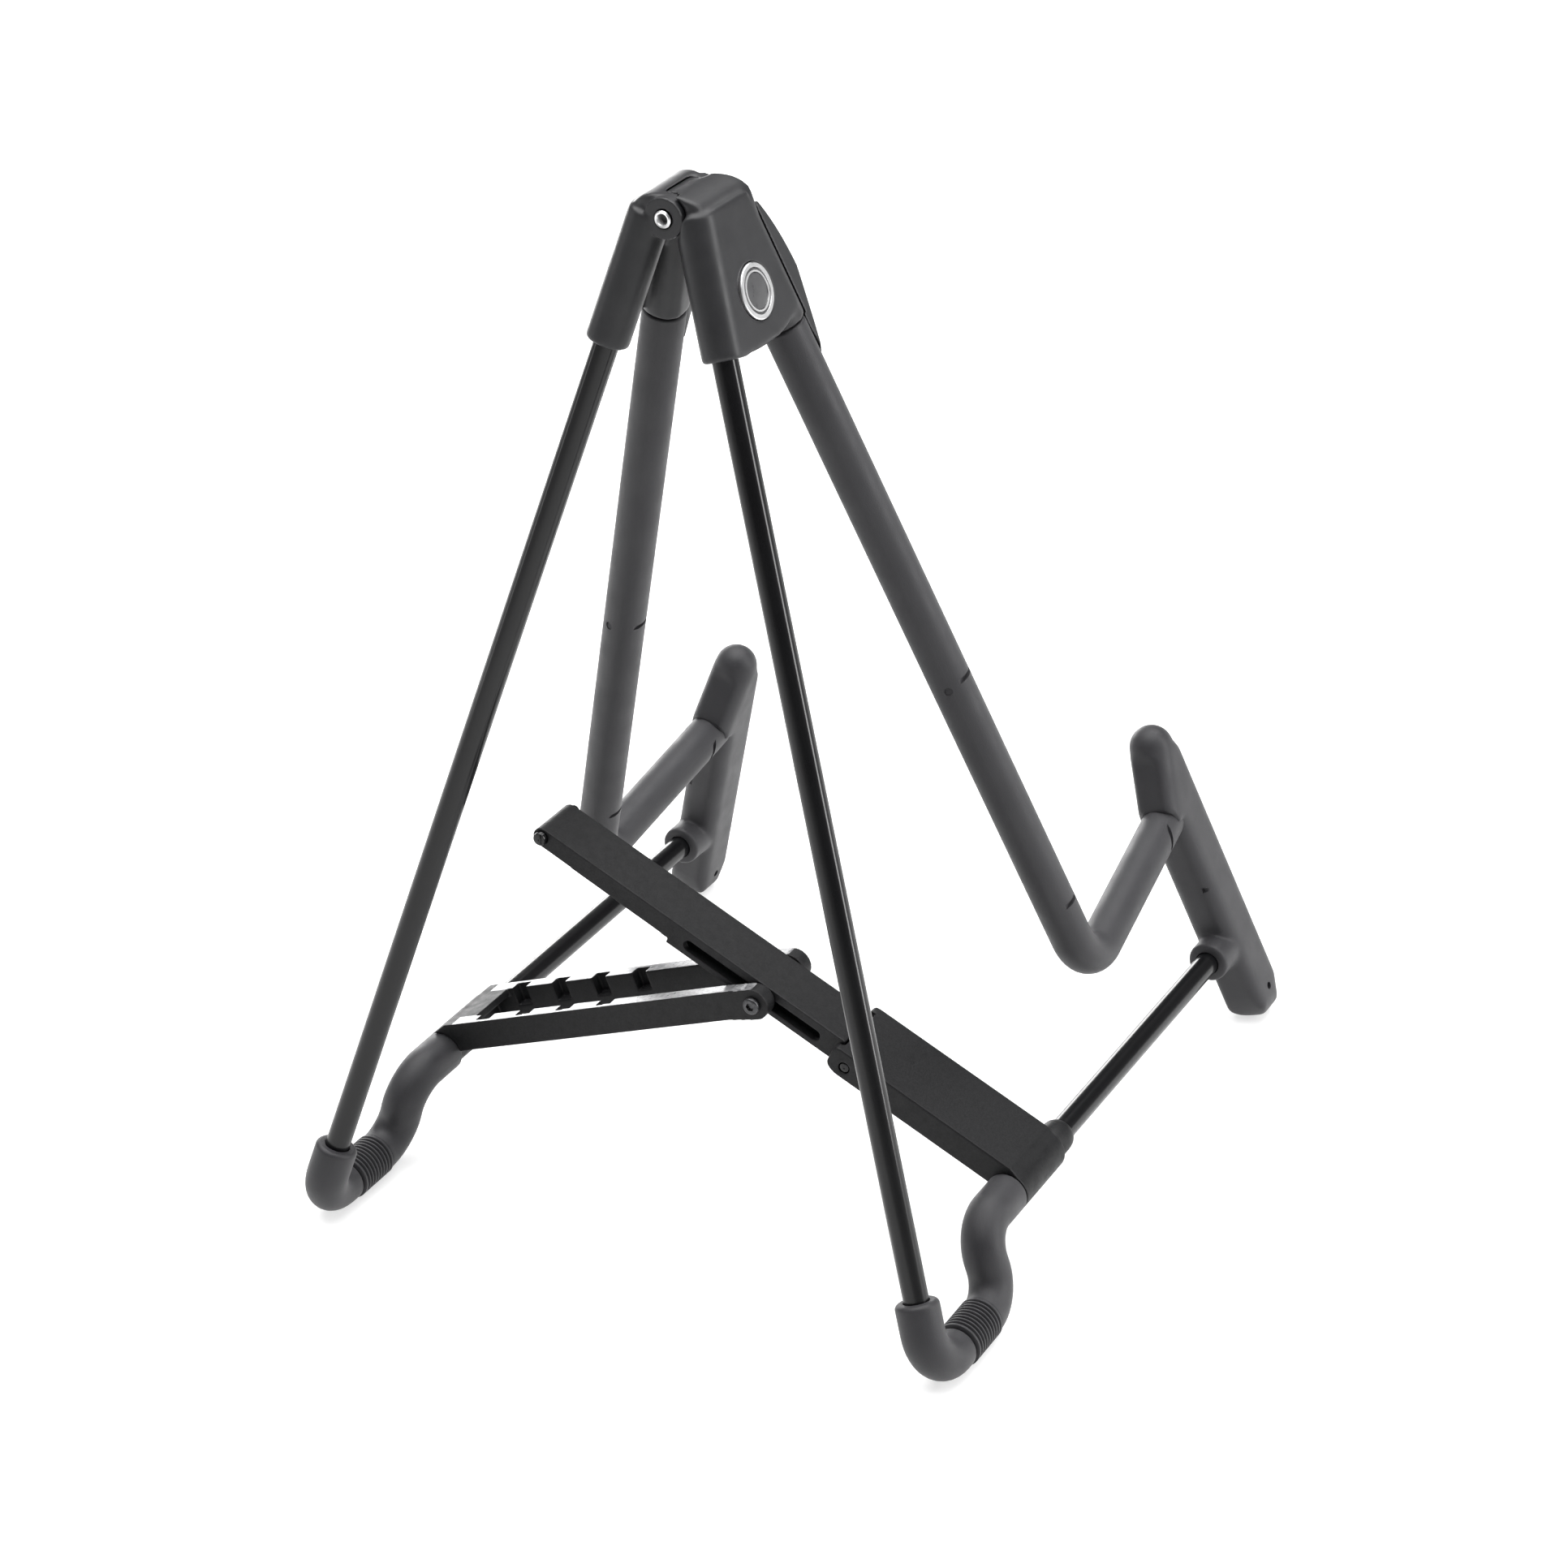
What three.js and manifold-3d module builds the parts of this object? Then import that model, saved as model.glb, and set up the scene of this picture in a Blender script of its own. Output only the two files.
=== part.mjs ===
// A folding A-frame guitar stand: two mirror-image bent-tube side frames hinged at the head, with a
// three-piece notched spreader between their lower rods. Millimetres, +Z up, floor at Z = 0.
// The cradle and its two horns are at the front (-Y), the feet at the back (+Y).
// Side a is at -X and side b at +X.
import * as THREE from "three";
import Module from "manifold-3d";
import { mergeVertices } from "three/addons/utils/BufferGeometryUtils.js";

const wasm = await Module();
wasm.setup();

// ---- Driving dimensions, mm and degrees ----
const HINGE_HEIGHT = 359.7; // hinge axis above the floor
const FRAME_LEAN = 17.56; // how far each side frame leans out from the vertical
const FRAME_TOP_X = 7.96; // plane of a side frame to the mid plane, at hinge height
const CENTRE_SHIFT = 53.38; // moves the hinge back so that the origin is at the footprint's middle

const TUBE_RADIUS = 4.25; // bent steel tube
const SLEEVE_RADIUS = 7.4; // soft sleeve on the tube
const BORE_GAP = 0.3; // clearance between a part and what it holds

// Points in the plane of a side frame are [u, t]: u runs along +Y and t down the frame from the hinge.
const REAR_TOP = [9.4, 10];
const REAR_SLOPE = 0.2104; // u per t along the rear leg
const FRONT_TOP = [-12.7, 10];
const FRONT_SLOPE = -0.222;
const FOOT_LEVEL = 369; // axis of the foot bar
const ROD_LEVEL = 343; // axis of the lower rod
const FOOT_BEND = 12;
const S_BEND_U = 35.5; // upright of the S bend
const S_BEND_RADIUS = 12;
const V_CORNER = [-78.2, 304.9];
const ARM_SLOPE = 0.2455; // t per u along the arm
const V_BEND_RADIUS = 14;
const ARM_END_U = -160;
const ROD_END_U = -174;

const SOCKET_END = 44.5; // lower end of the rear socket, along t
const FRONT_SOCKET_END = 45;
const SOCKET_RADIUS = 7.2;
const FRONT_SOCKET_RADIUS = 7.9;
const ELBOW_START = 344;
const ELBOW_END_U = 66;
const RING_END_U = 48.4;
const RING_COUNT = 10;
const S_SLEEVE_END_U = 11.3;
const COLLAR_LENGTH = 11;
const COLLAR_RADIUS = 6.1;

const HORN_THICKNESS = 16.4;
const HORN_EDGE = 5.4; // rounding of the horn's long edges
const HORN_MIDDLE = [-169.9, 300]; // a point on the horn's middle line
const HORN_DOME = [-165.7, 258.4]; // centre of its domed top
const HORN_BACK_SLOPE = 0.303; // u per t along the back of its head
const HORN_BOTTOM = 377.1;
const HORN_FLARE = 0.45; // how fast its domed top turns square, radius per length
const HORN_HOLE = [-183.6, 365.4];
const ROD_BOSS_RADIUS = 7.6;
const ROD_BOSS_END_U = -158.6;

const KNUCKLE_RADIUS = 6.8;
const KNUCKLES = { b: [[13.7, 7.6], [-8.4, -13.2]], a: [[7.3, -8.1]] };
const HOUSING_REAR_U = 12.5;
const HOUSING_FRONT_U = -20;
const HOUSING_CORNER = 8.5; // rounding of the shoulder's outer corners
const HEAD_SLANT = -25.5; // the shoulder's front end, from square to the hinge
const PLATE_FACE = 8; // outer face of the housing, from the frame plane
const PIN_RADIUS = 2.6;
const BADGE_RADIUS = 9.1;
const BADGE_CENTRE = [-0.7, 28.6];

// Spreader, in each bar's own axes: a along the bar from its rod, b square to it, y across the stand.
const MID_Y = -3; // middle plane of the spreader
const WIDE_ANGLE = 26.1;
const FORK_ANGLE = 19.75;
const BARREL_RADIUS = 7.4;
const FORK_BARREL_RADIUS = 6.4;
const LINER_RADIUS = 5.2;
const WIDE_MID_Y = -4; // middle plane of the wide channel
const WIDE_WIDTH = 30;
const WIDE_LENGTH = 75.5;
const WIDE_LOW = -1.4;
const WIDE_TOP = 8.8;
const WIDE_WALL = 3.4;
const KNEE = [69, 2.9];
const SLOTTED_WIDTH = 20.2;
const SLOTTED_WALL = 2.6;
const SLOTTED_TOP = 9.6;
const SLOTTED_START = 73.6;
const SLOTTED_FLOOR = 1.2; // inner face of its bottom web
const SLOTTED_STEP = 145;
const SLOTTED_END = 204.2;
const SLOT_RANGE = [82, 139];
const SLOT_B = 4.2;
const SLOT_HALF = 2.1;
const NOTCH_PIN = [200.8, 6.1];
const FORK_WIDTH = 32;
const FORK_WALL = 5.6;
const NOTCH_DEPTH = 3.9; // into each arm
const FORK_TOP = 10.2;
const FORK_LOW = -0.5;
const FORK_WEB_END = 16.6;
const FORK_PIVOT = [138.6, 4.1];
const FORK_EAR_RADIUS = 5.8;
const SCREW_RADIUS = 1.9;
const KNEE_PIN_RADIUS = 1.8;
const NOTCH_PIN_RADIUS = 2.4;
const NOTCH_FLOOR = 3.2;
const NOTCH_FIRST = 22;
const NOTCH_PITCH = 18;
const NOTCH_COUNT = 4;

// ---- Materials ----
const colours = {
  steel: [0x0b0b0c, 0.18, 0.6],
  rubber: [0x3a3a3c, 0.75, 0],
  plastic: [0x252527, 0.6, 0],
  bright: [0xc8c8ca, 0.25, 1],
  nylon: [0x1a1a1b, 0.5, 0],
};

function material(kind) {
  const [color, roughness, metalness] = colours[kind];
  return new THREE.MeshStandardMaterial({ color, roughness, metalness });
}

// ---- Solids ----
const SLIVER = 0.03; // faces thinner than this are merged where many rounded shapes meet

// A closed three.js geometry as a solid that can be joined or cut.
function solid(geometry) {
  const plain = geometry.index ? geometry.toNonIndexed() : geometry.clone();
  plain.deleteAttribute("normal");
  plain.deleteAttribute("uv");
  const merged = mergeVertices(plain, 1e-4);
  const mesh = new wasm.Mesh({
    numProp: 3,
    vertProperties: new Float32Array(merged.attributes.position.array),
    triVerts: new Uint32Array(merged.index.array),
  });
  return new wasm.Manifold(mesh);
}

function join(first, ...rest) {
  return rest.reduce((whole, piece) => whole.add(piece), first);
}

function cut(first, ...rest) {
  return rest.reduce((whole, piece) => whole.subtract(piece), first);
}

function moved(shape, matrix) {
  return shape.transform(matrix.toArray());
}

function named(name, kind, shape) {
  const { vertProperties, triVerts } = shape.getMesh();
  const geometry = new THREE.BufferGeometry();
  geometry.setAttribute("position", new THREE.BufferAttribute(vertProperties, 3));
  geometry.setIndex(new THREE.BufferAttribute(triVerts, 1));
  geometry.computeVertexNormals();
  const mesh = new THREE.Mesh(geometry, material(kind));
  mesh.name = name;
  return mesh;
}

// A cylinder between two points, or a cone where it ends with another radius.
function cylinder(from, to, radius, sides = 18, endRadius = radius) {
  const start = new THREE.Vector3(...from);
  const end = new THREE.Vector3(...to);
  const along = end.clone().sub(start);
  const geometry = new THREE.CylinderGeometry(endRadius, radius, along.length(), sides);
  const turn = new THREE.Quaternion().setFromUnitVectors(new THREE.Vector3(0, 1, 0), along.normalize());
  geometry.applyQuaternion(turn);
  const middle = start.add(end).multiplyScalar(0.5);
  return solid(geometry.translate(middle.x, middle.y, middle.z));
}

// A turned piece on the Y axis: the profile's points are [radius, y].
function turned(profile, sides = 16) {
  const points = profile.map(([radius, y]) => new THREE.Vector2(radius, y));
  return solid(new THREE.LatheGeometry(points, sides));
}

function box(low, high) {
  const size = high.map((value, i) => value - low[i]);
  const geometry = new THREE.BoxGeometry(...size);
  return solid(geometry.translate(...low.map((value, i) => value + size[i] / 2)));
}

// ---- Bent paths in the plane of a side frame ----
// A path that has a station only at each end of a straight and every few degrees of a bend.
class BentPath extends THREE.Curve {
  constructor(corners, radii, stepsPerBend = 5) {
    super();
    this.stations = [];
    const points = corners.map(([u, t]) => new THREE.Vector3(0, u, -t));
    this.addStation(points[0], points[1].clone().sub(points[0]));
    for (let i = 1; i < points.length - 1; i++) {
      this.addBend(points[i - 1], points[i], points[i + 1], radii[i - 1], stepsPerBend);
    }
    const last = points.at(-1);
    this.addStation(last, last.clone().sub(points.at(-2)));
    this.arcLengthDivisions = this.steps;
  }

  get steps() {
    return this.stations.length - 1;
  }

  addStation(point, direction) {
    this.stations.push({ point: point.clone(), tangent: direction.clone().normalize() });
  }

  addBend(before, corner, after, radius, steps) {
    const incoming = corner.clone().sub(before).normalize();
    const outgoing = after.clone().sub(corner).normalize();
    const turn = incoming.angleTo(outgoing);
    const reach = radius * Math.tan(turn / 2);
    const start = corner.clone().addScaledVector(incoming, -reach);
    const side = outgoing.clone().addScaledVector(incoming, -outgoing.dot(incoming)).normalize();
    const centre = start.clone().addScaledVector(side, radius);
    for (let i = 0; i <= steps; i++) {
      const angle = (turn * i) / steps;
      const point = centre.clone().addScaledVector(side, -radius * Math.cos(angle));
      point.addScaledVector(incoming, radius * Math.sin(angle));
      const tangent = incoming.clone().multiplyScalar(Math.cos(angle));
      this.addStation(point, tangent.addScaledVector(side, Math.sin(angle)));
    }
  }

  station(share) {
    return this.stations[Math.round(share * this.steps)];
  }

  getPoint(share) {
    return this.station(share).point.clone();
  }

  getPointAt(share) {
    return this.getPoint(share);
  }

  getTangentAt(share) {
    return this.station(share).tangent.clone();
  }
}

function tube(path, radius, sides = 20) {
  const section = new THREE.Shape();
  section.absarc(0, 0, radius, 0, 2 * Math.PI);
  const points = section.extractPoints(Math.round(sides / 2)).shape;
  const outline = new THREE.Shape(points);
  const settings = { steps: path.steps, extrudePath: path, curveSegments: 1 };
  return solid(new THREE.ExtrudeGeometry(outline, settings));
}

// ---- Lines of a side frame ----
function onRearLeg(t) {
  return [REAR_TOP[0] + REAR_SLOPE * (t - REAR_TOP[1]), t];
}

function onFrontLeg(t) {
  return [FRONT_TOP[0] + FRONT_SLOPE * (t - FRONT_TOP[1]), t];
}

function onArm(u) {
  return [u, V_CORNER[1] + ARM_SLOPE * (u - V_CORNER[0])];
}

function inFrame([u, t], n = 0) {
  return [n, u, -t];
}

const footCorner = onRearLeg(FOOT_LEVEL);
const rearPath = [
  onRearLeg(12),
  footCorner,
  [S_BEND_U, FOOT_LEVEL],
  [S_BEND_U, ROD_LEVEL],
  [ROD_END_U, ROD_LEVEL],
];
const rearRadii = [FOOT_BEND, S_BEND_RADIUS, S_BEND_RADIUS];

const hingeInFrame = {
  n: -FRAME_TOP_X * Math.cos(THREE.MathUtils.degToRad(FRAME_LEAN)),
  t: -FRAME_TOP_X * Math.sin(THREE.MathUtils.degToRad(FRAME_LEAN)),
};

// ---- Tubes and sleeves ----
function rearTube() {
  return tube(new BentPath(rearPath, rearRadii), TUBE_RADIUS, 12);
}

function frontTube() {
  const path = new BentPath([onFrontLeg(12), V_CORNER, onArm(ARM_END_U)], [V_BEND_RADIUS]);
  return tube(path, TUBE_RADIUS, 12);
}

function sleeve(corners, radii, radius = SLEEVE_RADIUS) {
  const outer = tube(new BentPath(corners, radii), radius, 16);
  const first = new THREE.Vector2(...corners[0]);
  const second = new THREE.Vector2(...corners[1]);
  const last = new THREE.Vector2(...corners.at(-1));
  const beforeLast = new THREE.Vector2(...corners.at(-2));
  const start = first.clone().add(first.clone().sub(second).normalize());
  const end = last.clone().add(last.clone().sub(beforeLast).normalize());
  const longer = [start.toArray(), ...corners.slice(1, -1), end.toArray()];
  return cut(outer, tube(new BentPath(longer, radii), TUBE_RADIUS + BORE_GAP, 12));
}

function frontSleeve() {
  const hornFaceU = -154.6;
  return sleeve([onFrontLeg(FRONT_SOCKET_END + 0.4), V_CORNER, onArm(hornFaceU)], [V_BEND_RADIUS]);
}

// The soft elbow under the rear leg.
function footElbow() {
  return sleeve([onRearLeg(ELBOW_START), footCorner, [ELBOW_END_U, FOOT_LEVEL]], [FOOT_BEND]);
}

// Anti-slip band: a row of narrow rings on the foot bar.
function gripBand() {
  const startU = ELBOW_END_U - BORE_GAP;
  const pitch = (startU - RING_END_U) / RING_COUNT;
  const crest = SLEEVE_RADIUS + 0.5;
  const valley = SLEEVE_RADIUS - 0.2;
  const bore = TUBE_RADIUS + BORE_GAP;
  const profile = [[bore, RING_END_U], [crest, RING_END_U]];
  for (let i = 0; i < RING_COUNT; i++) {
    const u = RING_END_U + i * pitch;
    if (i > 0) profile.push([valley, u + 0.15 * pitch], [crest, u + 0.3 * pitch]);
    profile.push([crest, u + pitch * (i < RING_COUNT - 1 ? 0.95 : 1)]);
  }
  profile.push([bore, startU], [bore, RING_END_U]);
  return turned(profile, 14).translate([0, 0, -FOOT_LEVEL]);
}

function sBendSleeve() {
  const corners = [
    [RING_END_U - BORE_GAP, FOOT_LEVEL],
    [S_BEND_U, FOOT_LEVEL],
    [S_BEND_U, ROD_LEVEL],
    [S_SLEEVE_END_U, ROD_LEVEL],
  ];
  return sleeve(corners, [S_BEND_RADIUS, S_BEND_RADIUS]);
}

// Domed collar that keeps a barrel in place on its rod.
function stopCollar(start) {
  const bore = TUBE_RADIUS + BORE_GAP;
  const end = start - COLLAR_LENGTH;
  const profile = [
    [bore, end],
    [5.2, end],
    [5.8, end + 1.2],
    [COLLAR_RADIUS, end + 3],
    [COLLAR_RADIUS, start],
    [bore, start],
    [bore, end],
  ];
  return turned(profile).translate([0, 0, -ROD_LEVEL]);
}

// ---- Horn ----
// Outline in the frame's plane, drawn with x = u and y = -t.
function hornOutline() {
  const [domeU, domeT] = HORN_DOME;
  const shape = new THREE.Shape();
  shape.moveTo(-152.6, -279);
  shape.absarc(domeU, -domeT, HORN_THICKNESS / 2, -0.11 * Math.PI, 0.94 * Math.PI);
  shape.lineTo(-196, -HORN_BOTTOM + 6);
  shape.quadraticCurveTo(-197, -HORN_BOTTOM, -192, -HORN_BOTTOM);
  shape.lineTo(-184.5, -HORN_BOTTOM);
  shape.quadraticCurveTo(-177, -HORN_BOTTOM + 1, -173.6, -HORN_BOTTOM + 11);
  shape.lineTo(-159.4, -301);
  shape.lineTo(-155.2, -282);
  shape.closePath();
  return shape;
}

// Seen from the front: round at both ends.
function hornFront() {
  const half = HORN_THICKNESS / 2;
  const shape = new THREE.Shape();
  shape.absarc(0, -HORN_DOME[1], half, 0, Math.PI);
  shape.absarc(0, half + 0.3 - HORN_BOTTOM, half, Math.PI, 2 * Math.PI);
  shape.closePath();
  return alongY(shape, -140, -210);
}

// A round dome at the top that spreads out downwards, so that the head is round only at its tip.
function hornCap() {
  const half = HORN_THICKNESS / 2;
  const reach = 150;
  const radius = 0.98 * half;
  const profile = [[0, -reach], [radius + HORN_FLARE * reach, -reach]];
  for (let i = 0; i <= 5; i++) {
    const angle = (Math.PI * i) / 10;
    profile.push([radius * Math.cos(angle), radius * Math.sin(angle)]);
  }
  const [domeU, domeT] = HORN_DOME;
  const stand = new THREE.Matrix4().makeRotationX(Math.PI / 2);
  stand.setPosition(0, domeU, -domeT);
  return moved(turned(profile, 18), stand);
}

// A rounded bar down the horn from a point; c is measured forward from the line through it.
function hornBar([originU, originT], slope, [backC, frontC], [from, to], edge) {
  const half = HORN_THICKNESS / 2;
  const section = new THREE.Shape();
  section.absarc(half - edge, frontC - edge, edge, 0, Math.PI / 2);
  section.absarc(edge - half, frontC - edge, edge, Math.PI / 2, Math.PI);
  section.absarc(edge - half, backC + edge, edge, Math.PI, 1.5 * Math.PI);
  section.absarc(half - edge, backC + edge, edge, 1.5 * Math.PI, 2 * Math.PI);
  const settings = { depth: to - from, bevelEnabled: false, curveSegments: 3 };
  const geometry = new THREE.ExtrudeGeometry(section, settings);
  geometry.translate(0, 0, from);
  const down = new THREE.Vector3(0, slope, -1).normalize();
  const across = new THREE.Vector3(1, 0, 0);
  const axes = new THREE.Matrix4().makeBasis(across, down.clone().cross(across), down);
  axes.setPosition(0, originU, -originT);
  return solid(geometry.applyMatrix4(axes));
}

function horn() {
  const edges = join(
    hornBar(HORN_MIDDLE, FRONT_SLOPE, [-30, 12.2], [-60, -17], HORN_EDGE),
    hornBar(HORN_MIDDLE, FRONT_SLOPE, [-11, 12.2], [-18, 90], HORN_EDGE),
  );
  const half = HORN_THICKNESS / 2;
  const headBack = hornBar(HORN_DOME, HORN_BACK_SLOPE, [-half, 60], [-20, 160], 0.99 * half);
  const slab = acrossFrame(hornOutline(), -half, half);
  const rounded = [edges, headBack, hornFront(), hornCap()].reduce((whole, tool) => whole.intersect(tool), slab);
  const body = rounded.simplify(SLIVER);
  const boss = cylinder(inFrame([ROD_BOSS_END_U, ROD_LEVEL]), inFrame([-176, ROD_LEVEL]), ROD_BOSS_RADIUS);
  const bore = TUBE_RADIUS + BORE_GAP;
  const rodStart = inFrame([ROD_BOSS_END_U + 1, ROD_LEVEL]);
  const rodBore = cylinder(rodStart, inFrame([ROD_END_U - BORE_GAP, ROD_LEVEL]), bore, 12);
  const armBore = cylinder(inFrame(onArm(-146)), inFrame(onArm(ARM_END_U - BORE_GAP)), bore, 12);
  const sleeveSeat = cylinder(inFrame(onArm(-140)), inFrame(onArm(-155)), SLEEVE_RADIUS + BORE_GAP);
  const [holeU, holeT] = HORN_HOLE;
  const hole = cylinder([-20, holeU, -holeT], [20, holeU, -holeT], 1.4, 12);
  return cut(join(body, boss), rodBore, armBore, sleeveSeat, hole);
}

// ---- Head ----
// A shape drawn with x = n and y = -t, as a solid between two places along Y.
function alongY(shape, fromY, toY) {
  const settings = { depth: Math.abs(fromY - toY), bevelEnabled: false, curveSegments: 5 };
  const geometry = new THREE.ExtrudeGeometry(shape, settings);
  geometry.rotateX(Math.PI / 2);
  return solid(geometry.translate(0, Math.max(fromY, toY), 0));
}

// A shape drawn with x = u and y = -t, as a solid between two offsets from the frame's plane.
function acrossFrame(shape, fromN, toN, bevel = 0) {
  const settings = {
    depth: toN - fromN - 2 * bevel,
    bevelEnabled: bevel > 0,
    bevelThickness: bevel,
    bevelSize: bevel,
    bevelOffset: -bevel,
    bevelSegments: 1,
    curveSegments: 3,
  };
  const geometry = new THREE.ExtrudeGeometry(shape, settings);
  geometry.translate(0, 0, fromN + bevel);
  const axes = [new THREE.Vector3(0, 1, 0), new THREE.Vector3(0, 0, 1), new THREE.Vector3(1, 0, 0)];
  return solid(geometry.applyMatrix4(new THREE.Matrix4().makeBasis(...axes)));
}

function onHinge(y) {
  return [hingeInFrame.n, y, -hingeInFrame.t];
}

// The shoulder that carries the knuckles, in section.
function shoulderSection() {
  const shape = new THREE.Shape();
  const top = -hingeInFrame.t + KNUCKLE_RADIUS;
  shape.moveTo(hingeInFrame.n, top);
  shape.quadraticCurveTo(-1, top, 3.6, 5.2);
  shape.quadraticCurveTo(PLATE_FACE, 1.4, PLATE_FACE, -9);
  shape.lineTo(PLATE_FACE, -16);
  shape.lineTo(-1.5, -16);
  shape.quadraticCurveTo(-3, -6, hingeInFrame.n, -3);
  shape.closePath();
  return shape;
}

// The shoulder seen from above, with round outer corners.
function shoulderPlan() {
  const shape = new THREE.Shape();
  shape.moveTo(-20, HOUSING_REAR_U);
  shape.lineTo(PLATE_FACE - HOUSING_CORNER, HOUSING_REAR_U);
  shape.quadraticCurveTo(PLATE_FACE, HOUSING_REAR_U, PLATE_FACE, HOUSING_REAR_U - HOUSING_CORNER);
  shape.lineTo(PLATE_FACE, HOUSING_FRONT_U + HOUSING_CORNER);
  shape.quadraticCurveTo(PLATE_FACE, HOUSING_FRONT_U, PLATE_FACE - HOUSING_CORNER, HOUSING_FRONT_U);
  shape.lineTo(-20, HOUSING_FRONT_U);
  shape.closePath();
  const settings = { depth: 60, bevelEnabled: false, curveSegments: 4 };
  return solid(new THREE.ExtrudeGeometry(shape, settings).translate(0, 0, -30));
}

// The outer plate between the two sockets.
function plateOutline() {
  const shape = new THREE.Shape();
  shape.moveTo(9, 1);
  shape.lineTo(17, -SOCKET_END + 0.6);
  shape.quadraticCurveTo(4, -46.4, -7, -45);
  shape.quadraticCurveTo(-16, -43.6, -20.9, -39.4);
  shape.lineTo(-13.2, -6.6);
  shape.lineTo(-12.6, 1);
  shape.closePath();
  return shape;
}

function housing(side) {
  const other = side === "a" ? "b" : "a";
  const bore = TUBE_RADIUS + BORE_GAP;
  const corner = new THREE.Matrix4().makeRotationZ(THREE.MathUtils.degToRad(HEAD_SLANT));
  corner.setPosition(hingeInFrame.n + 4.5, KNUCKLES.b[1][1], 0);
  const shell = join(
    alongY(shoulderSection(), HOUSING_REAR_U, HOUSING_FRONT_U)
      .intersect(shoulderPlan())
      .subtract(moved(box([-30, -30, -30], [30, 0, 30]), corner)),
    acrossFrame(plateOutline(), 2.6, PLATE_FACE, 1.2),
    cylinder(inFrame(onRearLeg(0)), inFrame(onRearLeg(SOCKET_END)), SOCKET_RADIUS),
    cylinder(inFrame(onFrontLeg(2)), inFrame(onFrontLeg(FRONT_SOCKET_END)), FRONT_SOCKET_RADIUS),
  );
  // Room for the other side's knuckles, wide enough for the whole fold.
  const room = KNUCKLES[other].map(([from, to]) =>
    cylinder(onHinge(from + 0.35), onHinge(to - 0.35), KNUCKLE_RADIUS + 0.4),
  );
  const beyondMiddle = box([-20, -40, -60], [hingeInFrame.n + 0.2, 40, -hingeInFrame.t]);
  const own = KNUCKLES[side].map(([from, to]) => cylinder(onHinge(from), onHinge(to), KNUCKLE_RADIUS));
  const [badgeU, badgeT] = BADGE_CENTRE;
  return cut(
    join(cut(shell, beyondMiddle, ...room), ...own),
    cylinder(inFrame(onRearLeg(11.5)), inFrame(onRearLeg(60)), bore, 12),
    cylinder(inFrame(onFrontLeg(11.5)), inFrame(onFrontLeg(60)), bore, 12),
    cylinder(onHinge(20), onHinge(-30), PIN_RADIUS + BORE_GAP, 16),
    cylinder([PLATE_FACE - 1, badgeU, -badgeT], [PLATE_FACE + 5, badgeU, -badgeT], BADGE_RADIUS + BORE_GAP),
  );
}

// The curved cover in front of the front socket, running down over the top of the sleeve.
function legCover() {
  const shape = new THREE.Shape();
  shape.moveTo(-13.9, -6.6);
  shape.lineTo(-18.6, -4.2);
  shape.quadraticCurveTo(-25.4, -14, -29.2, -29);
  shape.quadraticCurveTo(-32.8, -43, -31.6, -60);
  shape.lineTo(-30, -60);
  shape.lineTo(-21.5, -39.7);
  shape.closePath();
  const lip = cylinder(inFrame(onFrontLeg(61)), inFrame(onFrontLeg(-5)), SLEEVE_RADIUS + 0.2, 24, 21);
  return cut(
    acrossFrame(shape, -5.8, 6.6, 0.8).intersect(lip),
    cylinder(inFrame(onFrontLeg(-5)), inFrame(onFrontLeg(FRONT_SOCKET_END + 0.2)), FRONT_SOCKET_RADIUS + BORE_GAP),
    cylinder(inFrame(onFrontLeg(FRONT_SOCKET_END)), inFrame(onFrontLeg(70)), SLEEVE_RADIUS + BORE_GAP, 16),
    alongY(shoulderSection(), HOUSING_REAR_U, HOUSING_FRONT_U - BORE_GAP),
  );
}

// A plain round badge with two raised rings.
function badge() {
  const profile = [
    [0, 0],
    [BADGE_RADIUS, 0],
    [BADGE_RADIUS, 1.3],
    [8.6, 1.5],
    [8, 1.1],
    [6.6, 1.1],
    [6, 1.5],
    [5.4, 1.1],
    [0, 1.1],
  ];
  const standing = turned(profile, 20);
  const turn = new THREE.Matrix4().makeRotationZ(-Math.PI / 2);
  turn.setPosition(PLATE_FACE - 0.7, BADGE_CENTRE[0], -BADGE_CENTRE[1]);
  return moved(standing, turn);
}

// Hollow rivet through all four knuckles.
function hingePin() {
  const front = KNUCKLES.b[1][1] - BORE_GAP;
  const rear = KNUCKLES.b[0][0] + BORE_GAP;
  const bore = 1.5;
  const head = PIN_RADIUS + 0.7;
  const profile = [
    [bore, front - 0.9],
    [head, front - 0.6],
    [head, front],
    [PIN_RADIUS, front],
    [PIN_RADIUS, rear],
    [head, rear],
    [head, rear + 0.6],
    [bore, rear + 0.9],
    [bore, front - 0.9],
  ];
  return turned(profile);
}

// ---- Spreader ----
// A shape drawn with x = a and y = b, as a solid that is centred on a bar's middle plane.
function bar(shape, width, middle = MID_Y) {
  return alongY(shape, middle + width / 2, middle - width / 2);
}

function channelCut(fromA, toA, lowB, highB, width, middle = MID_Y) {
  return box([fromA, middle - width / 2, lowB], [toA, middle + width / 2, highB]);
}

function crossHole([a, b], radius, sides = 12) {
  return cylinder([a, 60, b], [a, -60, b], radius, sides);
}

function barrel(fromY, toY, radius = BARREL_RADIUS) {
  return cylinder([0, fromY, 0], [0, toY, 0], radius, 20);
}

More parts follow.
